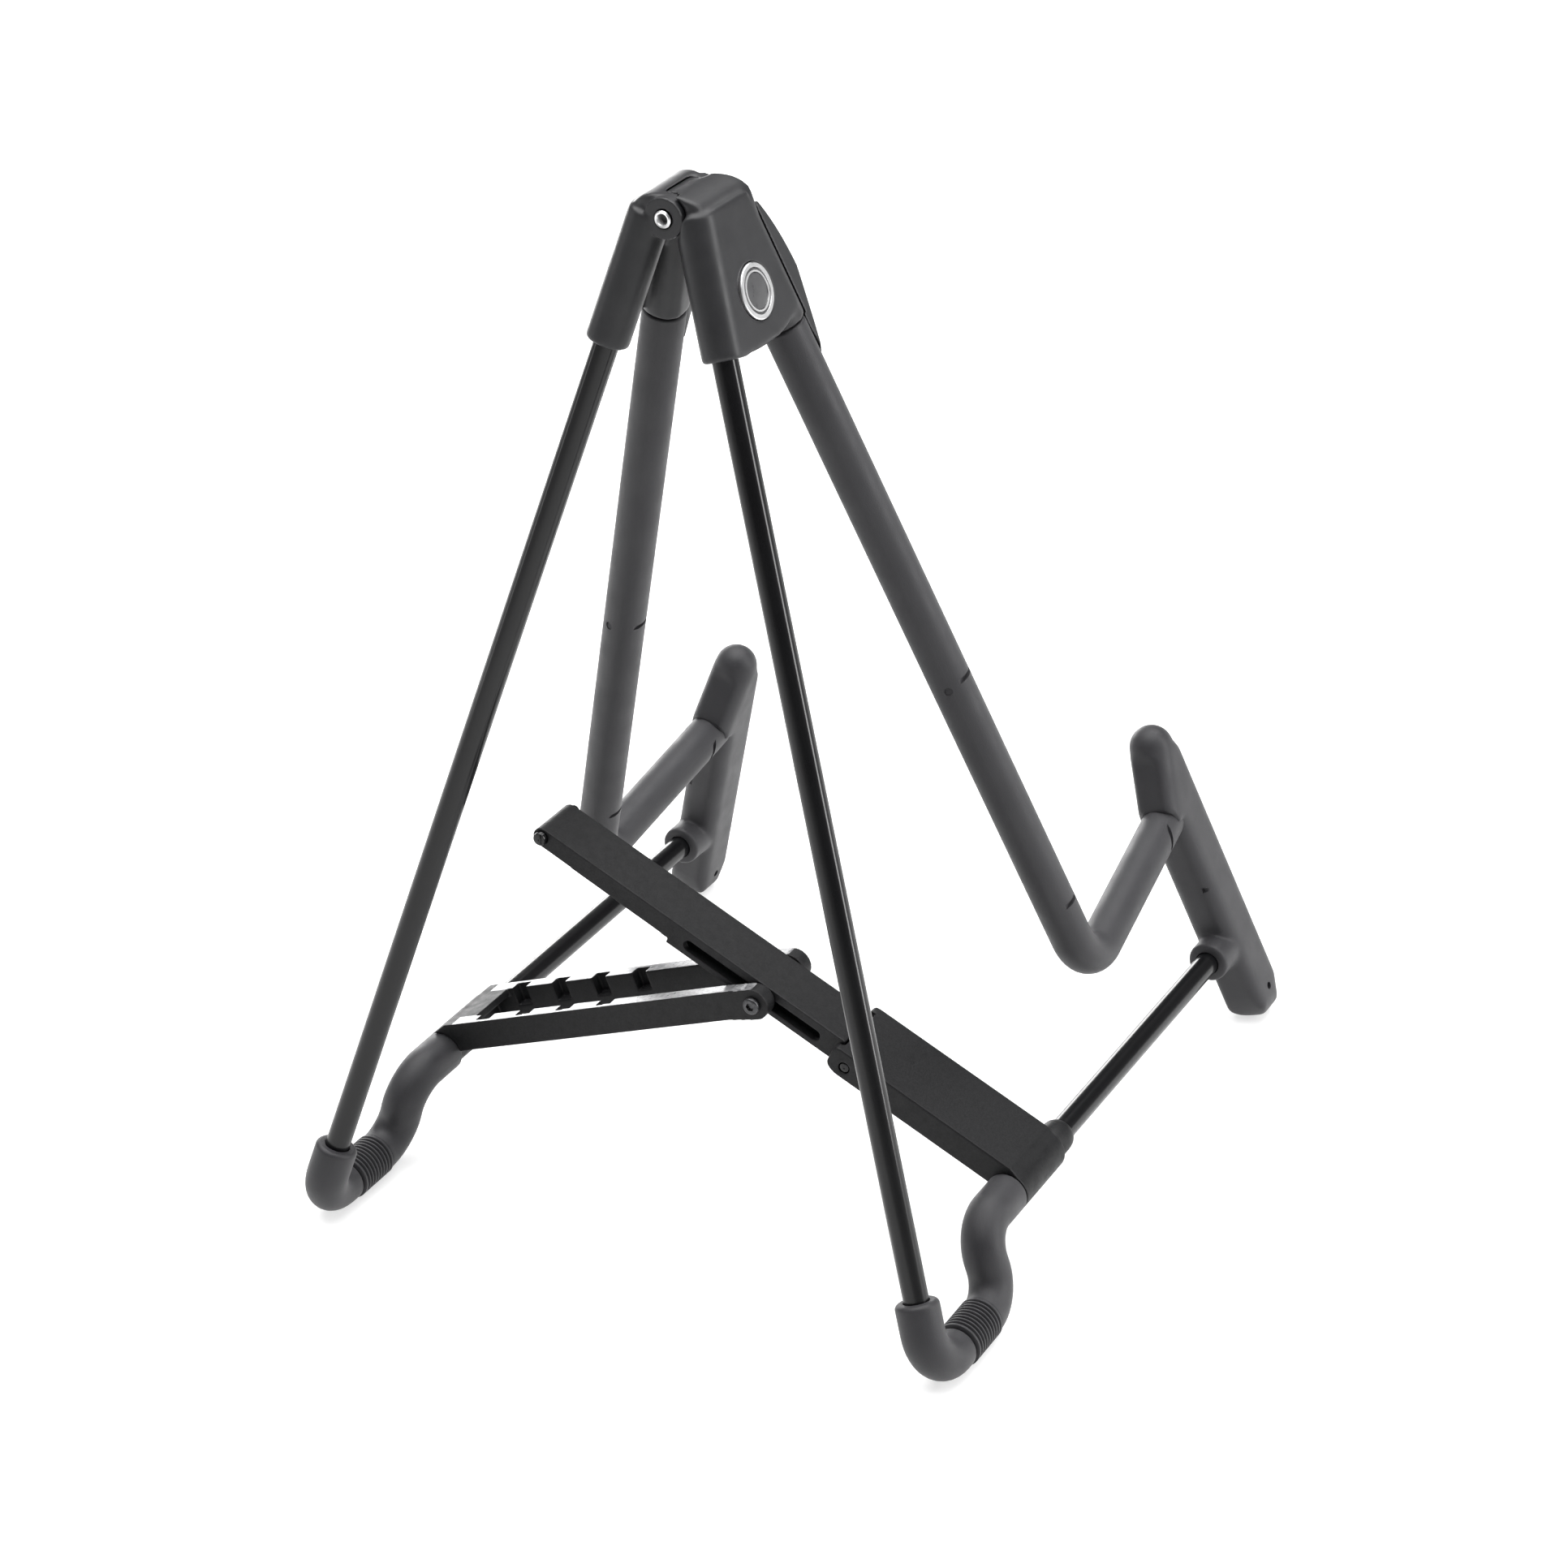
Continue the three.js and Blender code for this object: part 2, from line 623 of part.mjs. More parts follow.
function wideChannel() {
  const side = new THREE.Shape();
  side.moveTo(-2.4, WIDE_TOP - 2);
  side.lineTo(3, WIDE_TOP);
  side.lineTo(WIDE_LENGTH - 2, WIDE_TOP);
  side.quadraticCurveTo(WIDE_LENGTH, WIDE_TOP, WIDE_LENGTH, WIDE_TOP - 3);
  side.lineTo(WIDE_LENGTH, 1.6);
  side.quadraticCurveTo(WIDE_LENGTH - 1, WIDE_LOW, WIDE_LENGTH - 6, WIDE_LOW);
  side.lineTo(0, WIDE_LOW);
  side.closePath();
  const inner = WIDE_WIDTH - 2 * WIDE_WALL;
  const half = WIDE_WIDTH / 2;
  return cut(
    join(bar(side, WIDE_WIDTH, WIDE_MID_Y), barrel(WIDE_MID_Y + half, WIDE_MID_Y - half)),
    channelCut(11, WIDE_LENGTH + 1, WIDE_LOW - 9, WIDE_TOP - 2.6, inner, WIDE_MID_Y),
    channelCut(WIDE_LENGTH - 2.5, WIDE_LENGTH + 1, 0, WIDE_TOP + 1, inner, WIDE_MID_Y),
    crossHole([0, 0], LINER_RADIUS + BORE_GAP, 16),
    crossHole(KNEE, KNEE_PIN_RADIUS + BORE_GAP),
  );
}

function slottedBar() {
  const [pinA, pinB] = NOTCH_PIN;
  const [kneeA, kneeB] = KNEE;
  const end = SLOTTED_END - pinA;
  const side = new THREE.Shape();
  side.moveTo(SLOTTED_START, SLOTTED_TOP);
  side.lineTo(SLOTTED_START, kneeB + 3);
  side.lineTo(kneeA, kneeB + 3);
  side.absarc(kneeA, kneeB, 3, Math.PI / 2, 1.5 * Math.PI);
  side.lineTo(SLOTTED_STEP, kneeB - 3);
  side.lineTo(SLOTTED_STEP, kneeB - 1.2);
  side.lineTo(pinA, pinB - end);
  side.absarc(pinA, pinB, end, -Math.PI / 2, Math.PI / 2);
  side.closePath();
  const slot = new THREE.Shape();
  slot.absarc(SLOT_RANGE[0] + SLOT_HALF, SLOT_B, SLOT_HALF, Math.PI / 2, 1.5 * Math.PI);
  slot.absarc(SLOT_RANGE[1] - SLOT_HALF, SLOT_B, SLOT_HALF, -Math.PI / 2, Math.PI / 2);
  slot.closePath();
  const inner = SLOTTED_WIDTH - 2 * SLOTTED_WALL;
  return cut(
    bar(side, SLOTTED_WIDTH),
    channelCut(kneeA - 10, pinA - 4.5, SLOTTED_FLOOR, SLOTTED_TOP - 2.4, inner),
    bar(slot, SLOTTED_WIDTH + 10),
    crossHole(NOTCH_PIN, NOTCH_PIN_RADIUS + BORE_GAP),
    crossHole(KNEE, KNEE_PIN_RADIUS + BORE_GAP),
  );
}

// A pocket in the inside of each arm, open at the top, that takes the notch pin.
function notch(index) {
  const a = NOTCH_FIRST + NOTCH_PITCH * index;
  const half = NOTCH_PIN_RADIUS + 0.6;
  return channelCut(a - half, a + half, NOTCH_FLOOR, FORK_TOP + 1, FORK_WIDTH - 2 * FORK_WALL + 2 * NOTCH_DEPTH);
}

function forkBar() {
  const [pivotA, pivotB] = FORK_PIVOT;
  const side = new THREE.Shape();
  side.moveTo(-3, FORK_TOP - 3.6);
  side.lineTo(5, FORK_TOP);
  side.lineTo(pivotA - 9, FORK_TOP);
  side.lineTo(pivotA, pivotB + FORK_EAR_RADIUS);
  side.absarc(pivotA, pivotB, FORK_EAR_RADIUS, Math.PI / 2, -Math.PI / 2, true);
  side.lineTo(pivotA - 12, FORK_LOW);
  side.lineTo(0, FORK_LOW);
  side.closePath();
  const half = FORK_WIDTH / 2;
  const notches = Array.from({ length: NOTCH_COUNT }, (_, index) => notch(index));
  const barrelEnd = S_SLEEVE_END_U - BORE_GAP;
  const saddle = cut(barrel(barrelEnd, MID_Y - half), box([-20, -60, -20], [20, 60, FORK_LOW - 1]));
  return cut(
    join(bar(side, FORK_WIDTH), saddle, barrel(barrelEnd, MID_Y - half, FORK_BARREL_RADIUS)),
    channelCut(FORK_WEB_END, pivotA + 20, FORK_LOW - 9, FORK_TOP + 9, FORK_WIDTH - 2 * FORK_WALL),
    channelCut(9.5, FORK_WEB_END + 1, FORK_LOW - 9, FORK_TOP - 2.6, FORK_WIDTH - 2 * FORK_WALL),
    ...notches,
    cylinder([0, 40, 0], [0, barrelEnd, 0], SLEEVE_RADIUS + BORE_GAP, 16),
    crossHole([0, 0], LINER_RADIUS + BORE_GAP, 16),
    crossHole(FORK_PIVOT, SCREW_RADIUS + BORE_GAP),
  );
}

// Nylon liner between a rod and the barrel that turns on it.
function liner(fromY, toY) {
  const bore = TUBE_RADIUS + BORE_GAP;
  const profile = [[bore, toY], [LINER_RADIUS, toY], [LINER_RADIUS, fromY], [bore, fromY], [bore, toY]];
  return turned(profile);
}

function notchPin() {
  const half = FORK_WIDTH / 2 - FORK_WALL + NOTCH_DEPTH - 2.3;
  const [a, b] = NOTCH_PIN;
  const radius = NOTCH_PIN_RADIUS;
  const profile = [[0, -half], [radius - 0.5, -half], [radius, 0.5 - half], [radius, half - 0.5]];
  profile.push([radius - 0.5, half], [0, half]);
  return turned(profile, 12).translate([a, MID_Y, b]);
}

function kneePin() {
  const half = WIDE_WIDTH / 2 - BORE_GAP;
  const [a, b] = KNEE;
  const radius = KNEE_PIN_RADIUS;
  const profile = [[0, -half], [radius - 0.4, -half], [radius, 0.4 - half], [radius, half - 0.4]];
  profile.push([radius - 0.4, half], [0, half]);
  return turned(profile, 12).translate([a, WIDE_MID_Y, b]);
}

// Short socket-head screw in one ear of the fork bar.
function earScrew(sign) {
  const [a, b] = FORK_PIVOT;
  const outer = FORK_WIDTH / 2 + BORE_GAP;
  const inner = SLOTTED_WIDTH / 2 + 2 * BORE_GAP;
  const profile = [
    [0, inner],
    [SCREW_RADIUS, inner],
    [SCREW_RADIUS, outer],
    [3, outer],
    [3, outer + 0.9],
    [2.5, outer + 1.5],
    [0, outer + 1.5],
  ];
  const hexagon = new THREE.CylinderGeometry(1.35, 1.35, 4, 6);
  hexagon.translate(0, outer + 2.6, 0);
  const screw = cut(turned(profile, 14), solid(hexagon));
  const facing = sign > 0 ? screw : screw.mirror([0, 1, 0]);
  return facing.translate([a, MID_Y, b]);
}

// ---- Assembly ----
function place(group, x, z, turnY) {
  group.position.set(x, 0, z);
  group.rotation.y = turnY;
  return group;
}

// One side frame; side a is the mirror image of side b.
function sideFrame(side) {
  const lean = THREE.MathUtils.degToRad(FRAME_LEAN);
  const sign = side === "b" ? 1 : -1;
  const group = place(new THREE.Group(), sign * FRAME_TOP_X, HINGE_HEIGHT, -sign * lean);
  const barrelEnd = side === "b" ? MID_Y - FORK_WIDTH / 2 : WIDE_MID_Y - WIDE_WIDTH / 2;
  const pieces = [
    ["rear_tube", "steel", rearTube()],
    ["front_tube", "steel", frontTube()],
    ["front_sleeve", "rubber", frontSleeve()],
    ["foot_elbow", "rubber", footElbow()],
    ["grip_band", "rubber", gripBand()],
    ["s_bend_sleeve", "rubber", sBendSleeve()],
    ["stop_collar", "plastic", stopCollar(barrelEnd - BORE_GAP)],
    ["horn", "rubber", horn()],
    ["housing", "plastic", housing(side)],
    ["leg_cover", "plastic", legCover()],
    ["badge", "bright", badge()],
  ];
  for (const [name, kind, shape] of pieces) {
    const facing = sign > 0 ? shape : shape.mirror([1, 0, 0]);
    group.add(named(`${name}_${side}`, kind, facing));
  }
  return group;
}

const lean = THREE.MathUtils.degToRad(FRAME_LEAN);
const rodX = FRAME_TOP_X + ROD_LEVEL * Math.sin(lean);
const rodZ = HINGE_HEIGHT - ROD_LEVEL * Math.cos(lean);

function wideAssembly() {
  const group = place(new THREE.Group(), -rodX, rodZ, -THREE.MathUtils.degToRad(WIDE_ANGLE));
  const half = WIDE_WIDTH / 2;
  group.add(named("rod_liner_a", "nylon", liner(WIDE_MID_Y + half, WIDE_MID_Y - half)));
  group.add(named("wide_channel", "plastic", wideChannel()));
  group.add(named("slotted_bar", "plastic", slottedBar()));
  group.add(named("knee_pin", "steel", kneePin()));
  group.add(named("notch_pin", "steel", notchPin()));
  return group;
}

// The fork bar lies along -X from its rod, so its solids are mirrored.
function forkAssembly() {
  const group = place(new THREE.Group(), rodX, rodZ, THREE.MathUtils.degToRad(FORK_ANGLE));
  const pieces = [
    ["rod_liner_b", "nylon", liner(S_SLEEVE_END_U - BORE_GAP, MID_Y - FORK_WIDTH / 2)],
    ["fork_bar", "plastic", forkBar()],
    ["ear_screw_rear", "steel", earScrew(1)],
    ["ear_screw_front", "steel", earScrew(-1)],
  ];
  for (const [name, kind, shape] of pieces) group.add(named(name, kind, shape.mirror([1, 0, 0])));
  return group;
}

const stand = new THREE.Group();
stand.position.y = CENTRE_SHIFT;
const pin = new THREE.Group();
pin.position.z = HINGE_HEIGHT;
pin.add(named("hinge_pin", "bright", hingePin()));
stand.add(sideFrame("a"), sideFrame("b"), pin, wideAssembly(), forkAssembly());

const object = new THREE.Group();
object.add(stand);
export default object;
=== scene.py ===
"""Looks of a folding guitar stand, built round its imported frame. Shapes are drawn in millimetres in
the axes of the part they belong to, then placed in the row frame in metres."""
import math

import bmesh
import bpy
from mathutils import Matrix, Vector


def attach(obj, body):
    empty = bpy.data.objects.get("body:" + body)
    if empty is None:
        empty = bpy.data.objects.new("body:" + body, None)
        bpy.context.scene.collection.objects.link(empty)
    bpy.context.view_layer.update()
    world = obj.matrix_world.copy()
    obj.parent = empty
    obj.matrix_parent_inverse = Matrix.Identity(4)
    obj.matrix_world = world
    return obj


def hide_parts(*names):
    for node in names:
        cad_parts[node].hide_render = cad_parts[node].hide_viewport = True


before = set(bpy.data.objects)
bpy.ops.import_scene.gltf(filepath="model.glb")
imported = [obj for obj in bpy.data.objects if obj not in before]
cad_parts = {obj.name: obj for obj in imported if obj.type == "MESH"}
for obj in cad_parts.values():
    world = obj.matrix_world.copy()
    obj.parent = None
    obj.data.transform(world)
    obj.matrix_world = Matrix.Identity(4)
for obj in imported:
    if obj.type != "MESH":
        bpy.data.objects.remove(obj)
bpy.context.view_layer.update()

# ---- Driving dimensions, mm and degrees; nearly all are the frame's own ----
HINGE_HEIGHT = 359.7
FRAME_LEAN = 17.56
FRAME_TOP_X = 7.96
CENTRE_SHIFT = 53.38
TUBE_RADIUS = 4.25
SLEEVE_RADIUS = 7.4
BORE_GAP = 0.3
BORE = TUBE_RADIUS + BORE_GAP
REAR_TOP, REAR_SLOPE = (9.4, 10), 0.2104
FRONT_TOP, FRONT_SLOPE = (-12.7, 10), -0.222
FOOT_LEVEL = 369
ROD_LEVEL = 343
FOOT_BEND = 12
S_BEND_U = 35.5
S_BEND_RADIUS = 12
V_CORNER, ARM_SLOPE, V_BEND_RADIUS = (-78.2, 304.9), 0.2455, 14
HORN_FACE_U = -154.6
ROD_END_U = -174
SOCKET_END, FRONT_SOCKET_END = 44.5, 45
SOCKET_RADIUS, FRONT_SOCKET_RADIUS = 7.2, 7.9
ELBOW_START, ELBOW_END_U = 344, 66
RING_END_U, RING_COUNT = 48.4, 10
S_SLEEVE_END_U = 11.3
COLLAR_LENGTH, COLLAR_RADIUS = 11, 6.1
SLIT_LEVELS, ARM_SLIT_U, DIMPLE_LEVEL = (181, 275), -148, 184
HORN_THICKNESS = 16.4
HORN_EDGE = 5.4
HORN_MIDDLE, HORN_DOME = (-169.9, 300), (-165.7, 258.4)
HORN_SLOPE, HORN_BACK_SLOPE = -0.195, 0.303
HORN_BOTTOM = 377.1
HORN_FLARE = 0.45
HORN_HOLE, HORN_DOT = (-183.6, 365.4), (-163.5, 316)
ROD_BOSS_RADIUS, ROD_BOSS_END_U = 7.6, -158.6
KNUCKLE_RADIUS = 6.8
KNUCKLES = {"b": ((13.7, 7.6), (-8.4, -13.2)), "a": ((7.3, -8.1),)}
HOUSING_REAR_U, HOUSING_FRONT_U, HOUSING_CORNER = 12.5, -20, 8.5
HEAD_SLANT = -25.5
PLATE_FACE, PLATE_REAR_FACE, PLATE_RISE = 8, 7.15, 0.03
PLATE_REAR_U, PLATE_REAR_SLOPE = 9.178, 0.178
PIN_RADIUS = 2.6
BADGE_RADIUS, BADGE_CENTRE = 9.1, (-0.7, 28.6)
MID_Y = -3
WIDE_ANGLE, FORK_ANGLE = 26.1, 19.75
BARREL_RADIUS, FORK_BARREL_RADIUS, LINER_RADIUS = 7.4, 6.4, 5.2
WIDE_MID_Y = -4
WIDE_WIDTH, WIDE_LENGTH, WIDE_LOW, WIDE_TOP, WIDE_WALL = 30, 75.5, -1.4, 8.8, 3.4
KNEE = (69, 2.9)
SLOTTED_WIDTH, SLOTTED_WALL, SLOTTED_TOP = 20.2, 2.6, 9.6
SLOTTED_START, SLOTTED_STEP, SLOTTED_END, SLOTTED_FLOOR = 73.6, 145, 204.2, 1.2
SLOT_RANGE, SLOT_B, SLOT_HALF = (82, 139), 4.2, 2.1
NOTCH_PIN = (200.8, 6.1)
FORK_WIDTH, FORK_WALL, FORK_TOP, FORK_LOW, FORK_WEB_END = 32, 5.6, 10.2, -0.5, 16.6
NOTCH_DEPTH = 3.9
RAIL_START = 9
FORK_PIVOT, FORK_EAR_RADIUS, SCREW_RADIUS = (138.6, 4.1), 5.8, 1.9
KNEE_PIN_RADIUS, NOTCH_PIN_RADIUS, NOTCH_FLOOR = 1.8, 2.4, 3.2
NOTCH_FIRST, NOTCH_PITCH, NOTCH_COUNT = 22, 18, 4

METRE = 0.001
FLOOR_GLOW = 0.62
ROUND_SIDES = 56
BEND_STEPS = 14


# ---- Places ----
def side_place(side):
    """From a side frame's own axes (out, back, up from the hinge) to the row frame."""
    lean = math.radians(FRAME_LEAN)
    rows = (
        (math.cos(lean), 0, -math.sin(lean), FRAME_TOP_X),
        (0, 1, 0, CENTRE_SHIFT),
        (math.sin(lean), 0, math.cos(lean), HINGE_HEIGHT),
        (0, 0, 0, 1),
    )
    mirror = Matrix.Scale(-1, 4, (1, 0, 0)) if side == "a" else Matrix.Identity(4)
    return Matrix.Scale(METRE, 4) @ mirror @ Matrix(rows)


def bar_place(side):
    """From a spreader bar's own axes (along, back, up) to the row frame."""
    angle = math.radians(WIDE_ANGLE if side == "a" else FORK_ANGLE)
    lean = math.radians(FRAME_LEAN)
    rod_x = FRAME_TOP_X + ROD_LEVEL * math.sin(lean)
    rod_z = HINGE_HEIGHT - ROD_LEVEL * math.cos(lean)
    rows = (
        (math.cos(angle), 0, -math.sin(angle), -rod_x),
        (0, 1, 0, CENTRE_SHIFT),
        (math.sin(angle), 0, math.cos(angle), rod_z),
        (0, 0, 0, 1),
    )
    mirror = Matrix.Scale(-1, 4, (1, 0, 0)) if side == "b" else Matrix.Identity(4)
    return Matrix.Scale(METRE, 4) @ mirror @ Matrix(rows)


def on_rear_leg(t):
    return (REAR_TOP[0] + REAR_SLOPE * (t - REAR_TOP[1]), t)


def on_front_leg(t):
    return (FRONT_TOP[0] + FRONT_SLOPE * (t - FRONT_TOP[1]), t)


def on_arm(u):
    return (u, V_CORNER[1] + ARM_SLOPE * (u - V_CORNER[0]))


def in_frame(point, n=0.0):
    return Vector((n, point[0], -point[1]))


HINGE_N = -FRAME_TOP_X * math.cos(math.radians(FRAME_LEAN))
HINGE_T = -FRAME_TOP_X * math.sin(math.radians(FRAME_LEAN))


def on_hinge(u):
    return Vector((HINGE_N, u, -HINGE_T))


# ---- Mesh making ----
def new_object(name, mesh_builder):
    mesh = bpy.data.meshes.new(name)
    mesh_builder.normal_update()
    mesh_builder.to_mesh(mesh)
    mesh_builder.free()
    thing = bpy.data.objects.new(name, mesh)
    bpy.context.scene.collection.objects.link(thing)
    return thing


def rings_to_mesh(rings, name="shape"):
    """A closed skin over rings of points; a ring of one point is a pole."""
    builder = bmesh.new()
    made = [[builder.verts.new(point) for point in ring] for ring in rings]
    for first, second in zip(made, made[1:]):
        count = max(len(first), len(second))
        for i in range(count):
            j = (i + 1) % count
            if len(first) == 1:
                builder.faces.new((first[0], second[j], second[i]))
            elif len(second) == 1:
                builder.faces.new((first[i], first[j], second[0]))
            else:
                builder.faces.new((first[i], first[j], second[j], second[i]))
    if len(made[0]) > 1 and made[0] is not made[-1]:
        builder.faces.new(reversed(made[0]))
    if len(made[-1]) > 1:
        builder.faces.new(made[-1])
    bmesh.ops.recalc_face_normals(builder, faces=builder.faces)
    return new_object(name, builder)


class Path:
    """A line through corners in a side frame's plane, with an arc at each inner corner."""

    def __init__(self, corners, radii=()):
        points = [in_frame(corner) for corner in corners]
        self.stations = [points[0]]
        for before, corner, after, radius in zip(points, points[1:], points[2:], radii):
            self.add_arc(before, corner, after, radius)
        self.stations.append(points[-1])
        self.distances = [0.0]
        for first, second in zip(self.stations, self.stations[1:]):
            self.distances.append(self.distances[-1] + (second - first).length)
        self.length = self.distances[-1]

    def add_arc(self, before, corner, after, radius):
        incoming = (corner - before).normalized()
        outgoing = (after - corner).normalized()
        turn = incoming.angle(outgoing)
        start = corner - incoming * radius * math.tan(turn / 2)
        side = (outgoing - incoming * outgoing.dot(incoming)).normalized()
        for i in range(BEND_STEPS + 1):
            angle = turn * i / BEND_STEPS
            across = side * radius * (1 - math.cos(angle))
            self.stations.append(start + across + incoming * radius * math.sin(angle))

    def at(self, distance):
        """Point at a distance along the path, which goes on straight past its ends."""
        last = len(self.stations) - 2
        i = 0
        while i < last and self.distances[i + 1] < distance:
            i += 1
        span = self.distances[i + 1] - self.distances[i]
        share = (distance - self.distances[i]) / span
        return self.stations[i].lerp(self.stations[i + 1], share)

    def tangent(self, distance):
        step = 0.35
        return (self.at(distance + step) - self.at(distance - step)).normalized()


def swept(path, profile, sides=ROUND_SIDES):
    """A round skin along a path; the profile's points are (distance, radius)."""
    stops = []
    for (d0, r0), (d1, r1) in zip(profile, profile[1:]):
        stops.append((d0, r0))
        low, high = sorted((d0, d1))
        between = [d for d in path.distances if low + 0.2 < d < high - 0.2]
        for d in between if d1 > d0 else reversed(between):
            stops.append((d, r0 + (r1 - r0) * (d - d0) / (d1 - d0)))
    stops.append(profile[-1])
    rings = []
    out = Vector((1, 0, 0))
    for distance, radius in stops:
        centre = path.at(distance)
        along = path.tangent(distance)
        if radius == 0:
            rings.append([centre])
            continue
        across = along.cross(out)
        ring = []
        for i in range(sides):
            angle = 2 * math.pi * i / sides
            x, y = radius * math.cos(angle), radius * math.sin(angle)
            ring.append(centre + out * x + across * y)
        rings.append(ring)
    return rings_to_mesh(rings)


def turned(profile, centre=(0, 0, 0), sides=ROUND_SIDES):
    """A piece turned on the Y axis; the profile's points are (radius, y)."""
    middle = Vector(centre)
    rings = []
    for radius, y in profile:
        if radius == 0:
            rings.append([middle + Vector((0, y, 0))])
            continue
        angles = [2 * math.pi * i / sides for i in range(sides)]
        rings.append([middle + Vector((radius * math.cos(w), y, radius * math.sin(w))) for w in angles])
    return rings_to_mesh(rings)


def cylinder(start, end, radius, sides=ROUND_SIDES, end_radius=None):
    """A cylinder between two points, or a cone where it ends with another radius."""
    start, end = Vector(start), Vector(end)
    along = (end - start).normalized()
    across = along.orthogonal().normalized()
    other = along.cross(across)
    rings = []
    for centre, reach in ((start, radius), (end, end_radius or radius)):
        angles = [2 * math.pi * i / sides for i in range(sides)]
        rings.append([centre + (across * math.cos(w) + other * math.sin(w)) * reach for w in angles])
    return rings_to_mesh(rings)


def box(low, high):
    """A block between two corners."""
    corners = [(low[0], low[1]), (high[0], low[1]), (high[0], high[1]), (low[0], high[1])]
    rings = [[Vector((x, y, z)) for x, y in corners] for z in (low[2], high[2])]
    return rings_to_mesh(rings)


def prism(outline, low, high, place):
    """An outline pushed from low to high; place turns (x, y, depth) into a point."""
    rings = [[Vector(place(x, y, depth)) for x, y in outline] for depth in (low, high)]
    return rings_to_mesh(rings)


def along_y(x, y, depth):
    return (x, depth, y)


def across_frame(x, y, depth):
    return (depth, x, y)


def curve(start, handle, end, steps=10):
    """Points of a quadratic curve, without its start."""
    points = []
    for i in range(1, steps + 1):
        share = i / steps
        keep = 1 - share
        points.append(tuple(
            keep * keep * a + 2 * keep * share * b + share * share * c
            for a, b, c in zip(start, handle, end)
        ))
    return points


def arc(centre, radius, from_degrees, to_degrees, steps=20):
    points = []
    for i in range(steps + 1):
        angle = math.radians(from_degrees + (to_degrees - from_degrees) * i / steps)
        points.append((centre[0] + radius * math.cos(angle), centre[1] + radius * math.sin(angle)))
    return points


def baked(thing):
    """Applies an object's modifiers to its mesh."""
    graph = bpy.context.evaluated_depsgraph_get()
    graph.update()
    mesh = bpy.data.meshes.new_from_object(thing.evaluated_get(graph))
    thing.modifiers.clear()
    old = thing.data
    thing.data = mesh
    bpy.data.meshes.remove(old)
    return thing


def shaped(base, steps):
    """Joins or cuts solids in turn; each step is ("UNION", "DIFFERENCE" or "INTERSECT", tool)."""
    for operation, tool in steps:
        step = base.modifiers.new("step", "BOOLEAN")
        step.operation = operation
        step.solver = "EXACT"
        step.object = tool
    baked(base)
    for _, tool in steps:
        bpy.data.objects.remove(tool)
    return base


def unions(tools):
    return [("UNION", tool) for tool in tools]


def cuts(tools):
    return [("DIFFERENCE", tool) for tool in tools]


def softened(base, voxel=0.4, smooth=3):
    """Gives a solid one even skin and rounds every edge a little, as a mould does."""
    remesh = base.modifiers.new("skin", "REMESH")
    remesh.mode = "VOXEL"
    remesh.voxel_size = voxel
    soften = base.modifiers.new("soften", "SMOOTH")
    soften.factor = 0.5
    soften.iterations = smooth
    return baked(base)


def finished(thing, name, place, finish, body, nodes, sharp=35):
    """Places a shape in the row frame, and gives it its finish, its body and the nodes it stands for."""
    thing.name = name
    thing.data.name = name
    thing.data.transform(place)
    if place.determinant() < 0:
        thing.data.flip_normals()
    thing.data.shade_smooth()
    if sharp:
        thing.data.set_sharp_from_angle(angle=math.radians(sharp))
    if thing.data.materials:
        thing.data.materials[0] = finish
    else:
        thing.data.materials.append(finish)
    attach(thing, body)
    if nodes:
        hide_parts(*nodes)
    return thing


# ---- Finishes ----
def new_finish(name, color, roughness):
    finish = bpy.data.materials.new(name)
    finish.use_nodes = True
    shader = finish.node_tree.nodes["Principled BSDF"]
    shader.inputs["Base Color"].default_value = (*color, 1)
    shader.inputs["Roughness"].default_value = roughness
    return finish, shader


def noise(finish, scale, detail=4):
    """A noise over the object's own space, in features per metre."""
    tree = finish.node_tree
    place = tree.nodes.new("ShaderNodeTexCoord")
    texture = tree.nodes.new("ShaderNodeTexNoise")
    texture.inputs["Scale"].default_value = scale
    texture.inputs["Detail"].default_value = detail
    tree.links.new(place.outputs["Object"], texture.inputs["Vector"])
    return texture.outputs["Fac"]


def ramp(finish, source, low, high, start=0.3, end=0.7):
    """Turns a noise into colours or values between low and high."""
    tree = finish.node_tree
    node = tree.nodes.new("ShaderNodeValToRGB")
    node.color_ramp.elements[0].position = start
    node.color_ramp.elements[1].position = end
    node.color_ramp.elements[0].color = (*low, 1)
    node.color_ramp.elements[1].color = (*high, 1)
    tree.links.new(source, node.inputs["Fac"])
    return node.outputs["Color"]


def bump(finish, shader, source, height):
    """Raises the surface by a height in metres where the source is bright."""
    tree = finish.node_tree
    node = tree.nodes.new("ShaderNodeBump")
    node.inputs["Strength"].default_value = 1
    node.inputs["Distance"].default_value = height
    tree.links.new(source, node.inputs["Height"])
    tree.links.new(node.outputs["Normal"], shader.inputs["Normal"])


def vary(finish, shader, socket, low, high, scale):
    """Lets a shader value wander between low and high."""
    color = ramp(finish, noise(finish, scale), low, high)
    finish.node_tree.links.new(color, shader.inputs[socket])


def grey(value):
    return (value, value, value)


def soft_rubber():
    """Dark grey soft rubber, slightly cloudy, with a fine matte skin."""
    finish, shader = new_finish("soft_rubber", (0.022, 0.0215, 0.024), 0.55)
    vary(finish, shader, "Base Color", (0.019, 0.0185, 0.021), (0.025, 0.0245, 0.027), 60)
    vary(finish, shader, "Roughness", grey(0.46), grey(0.6), 120)
    shader.inputs["Specular IOR Level"].default_value = 0.3
    shader.inputs["Sheen Weight"].default_value = 0.08
    shader.inputs["Sheen Roughness"].default_value = 0.5
    bump(finish, shader, noise(finish, 2600, 3), 0.00005)
    return finish


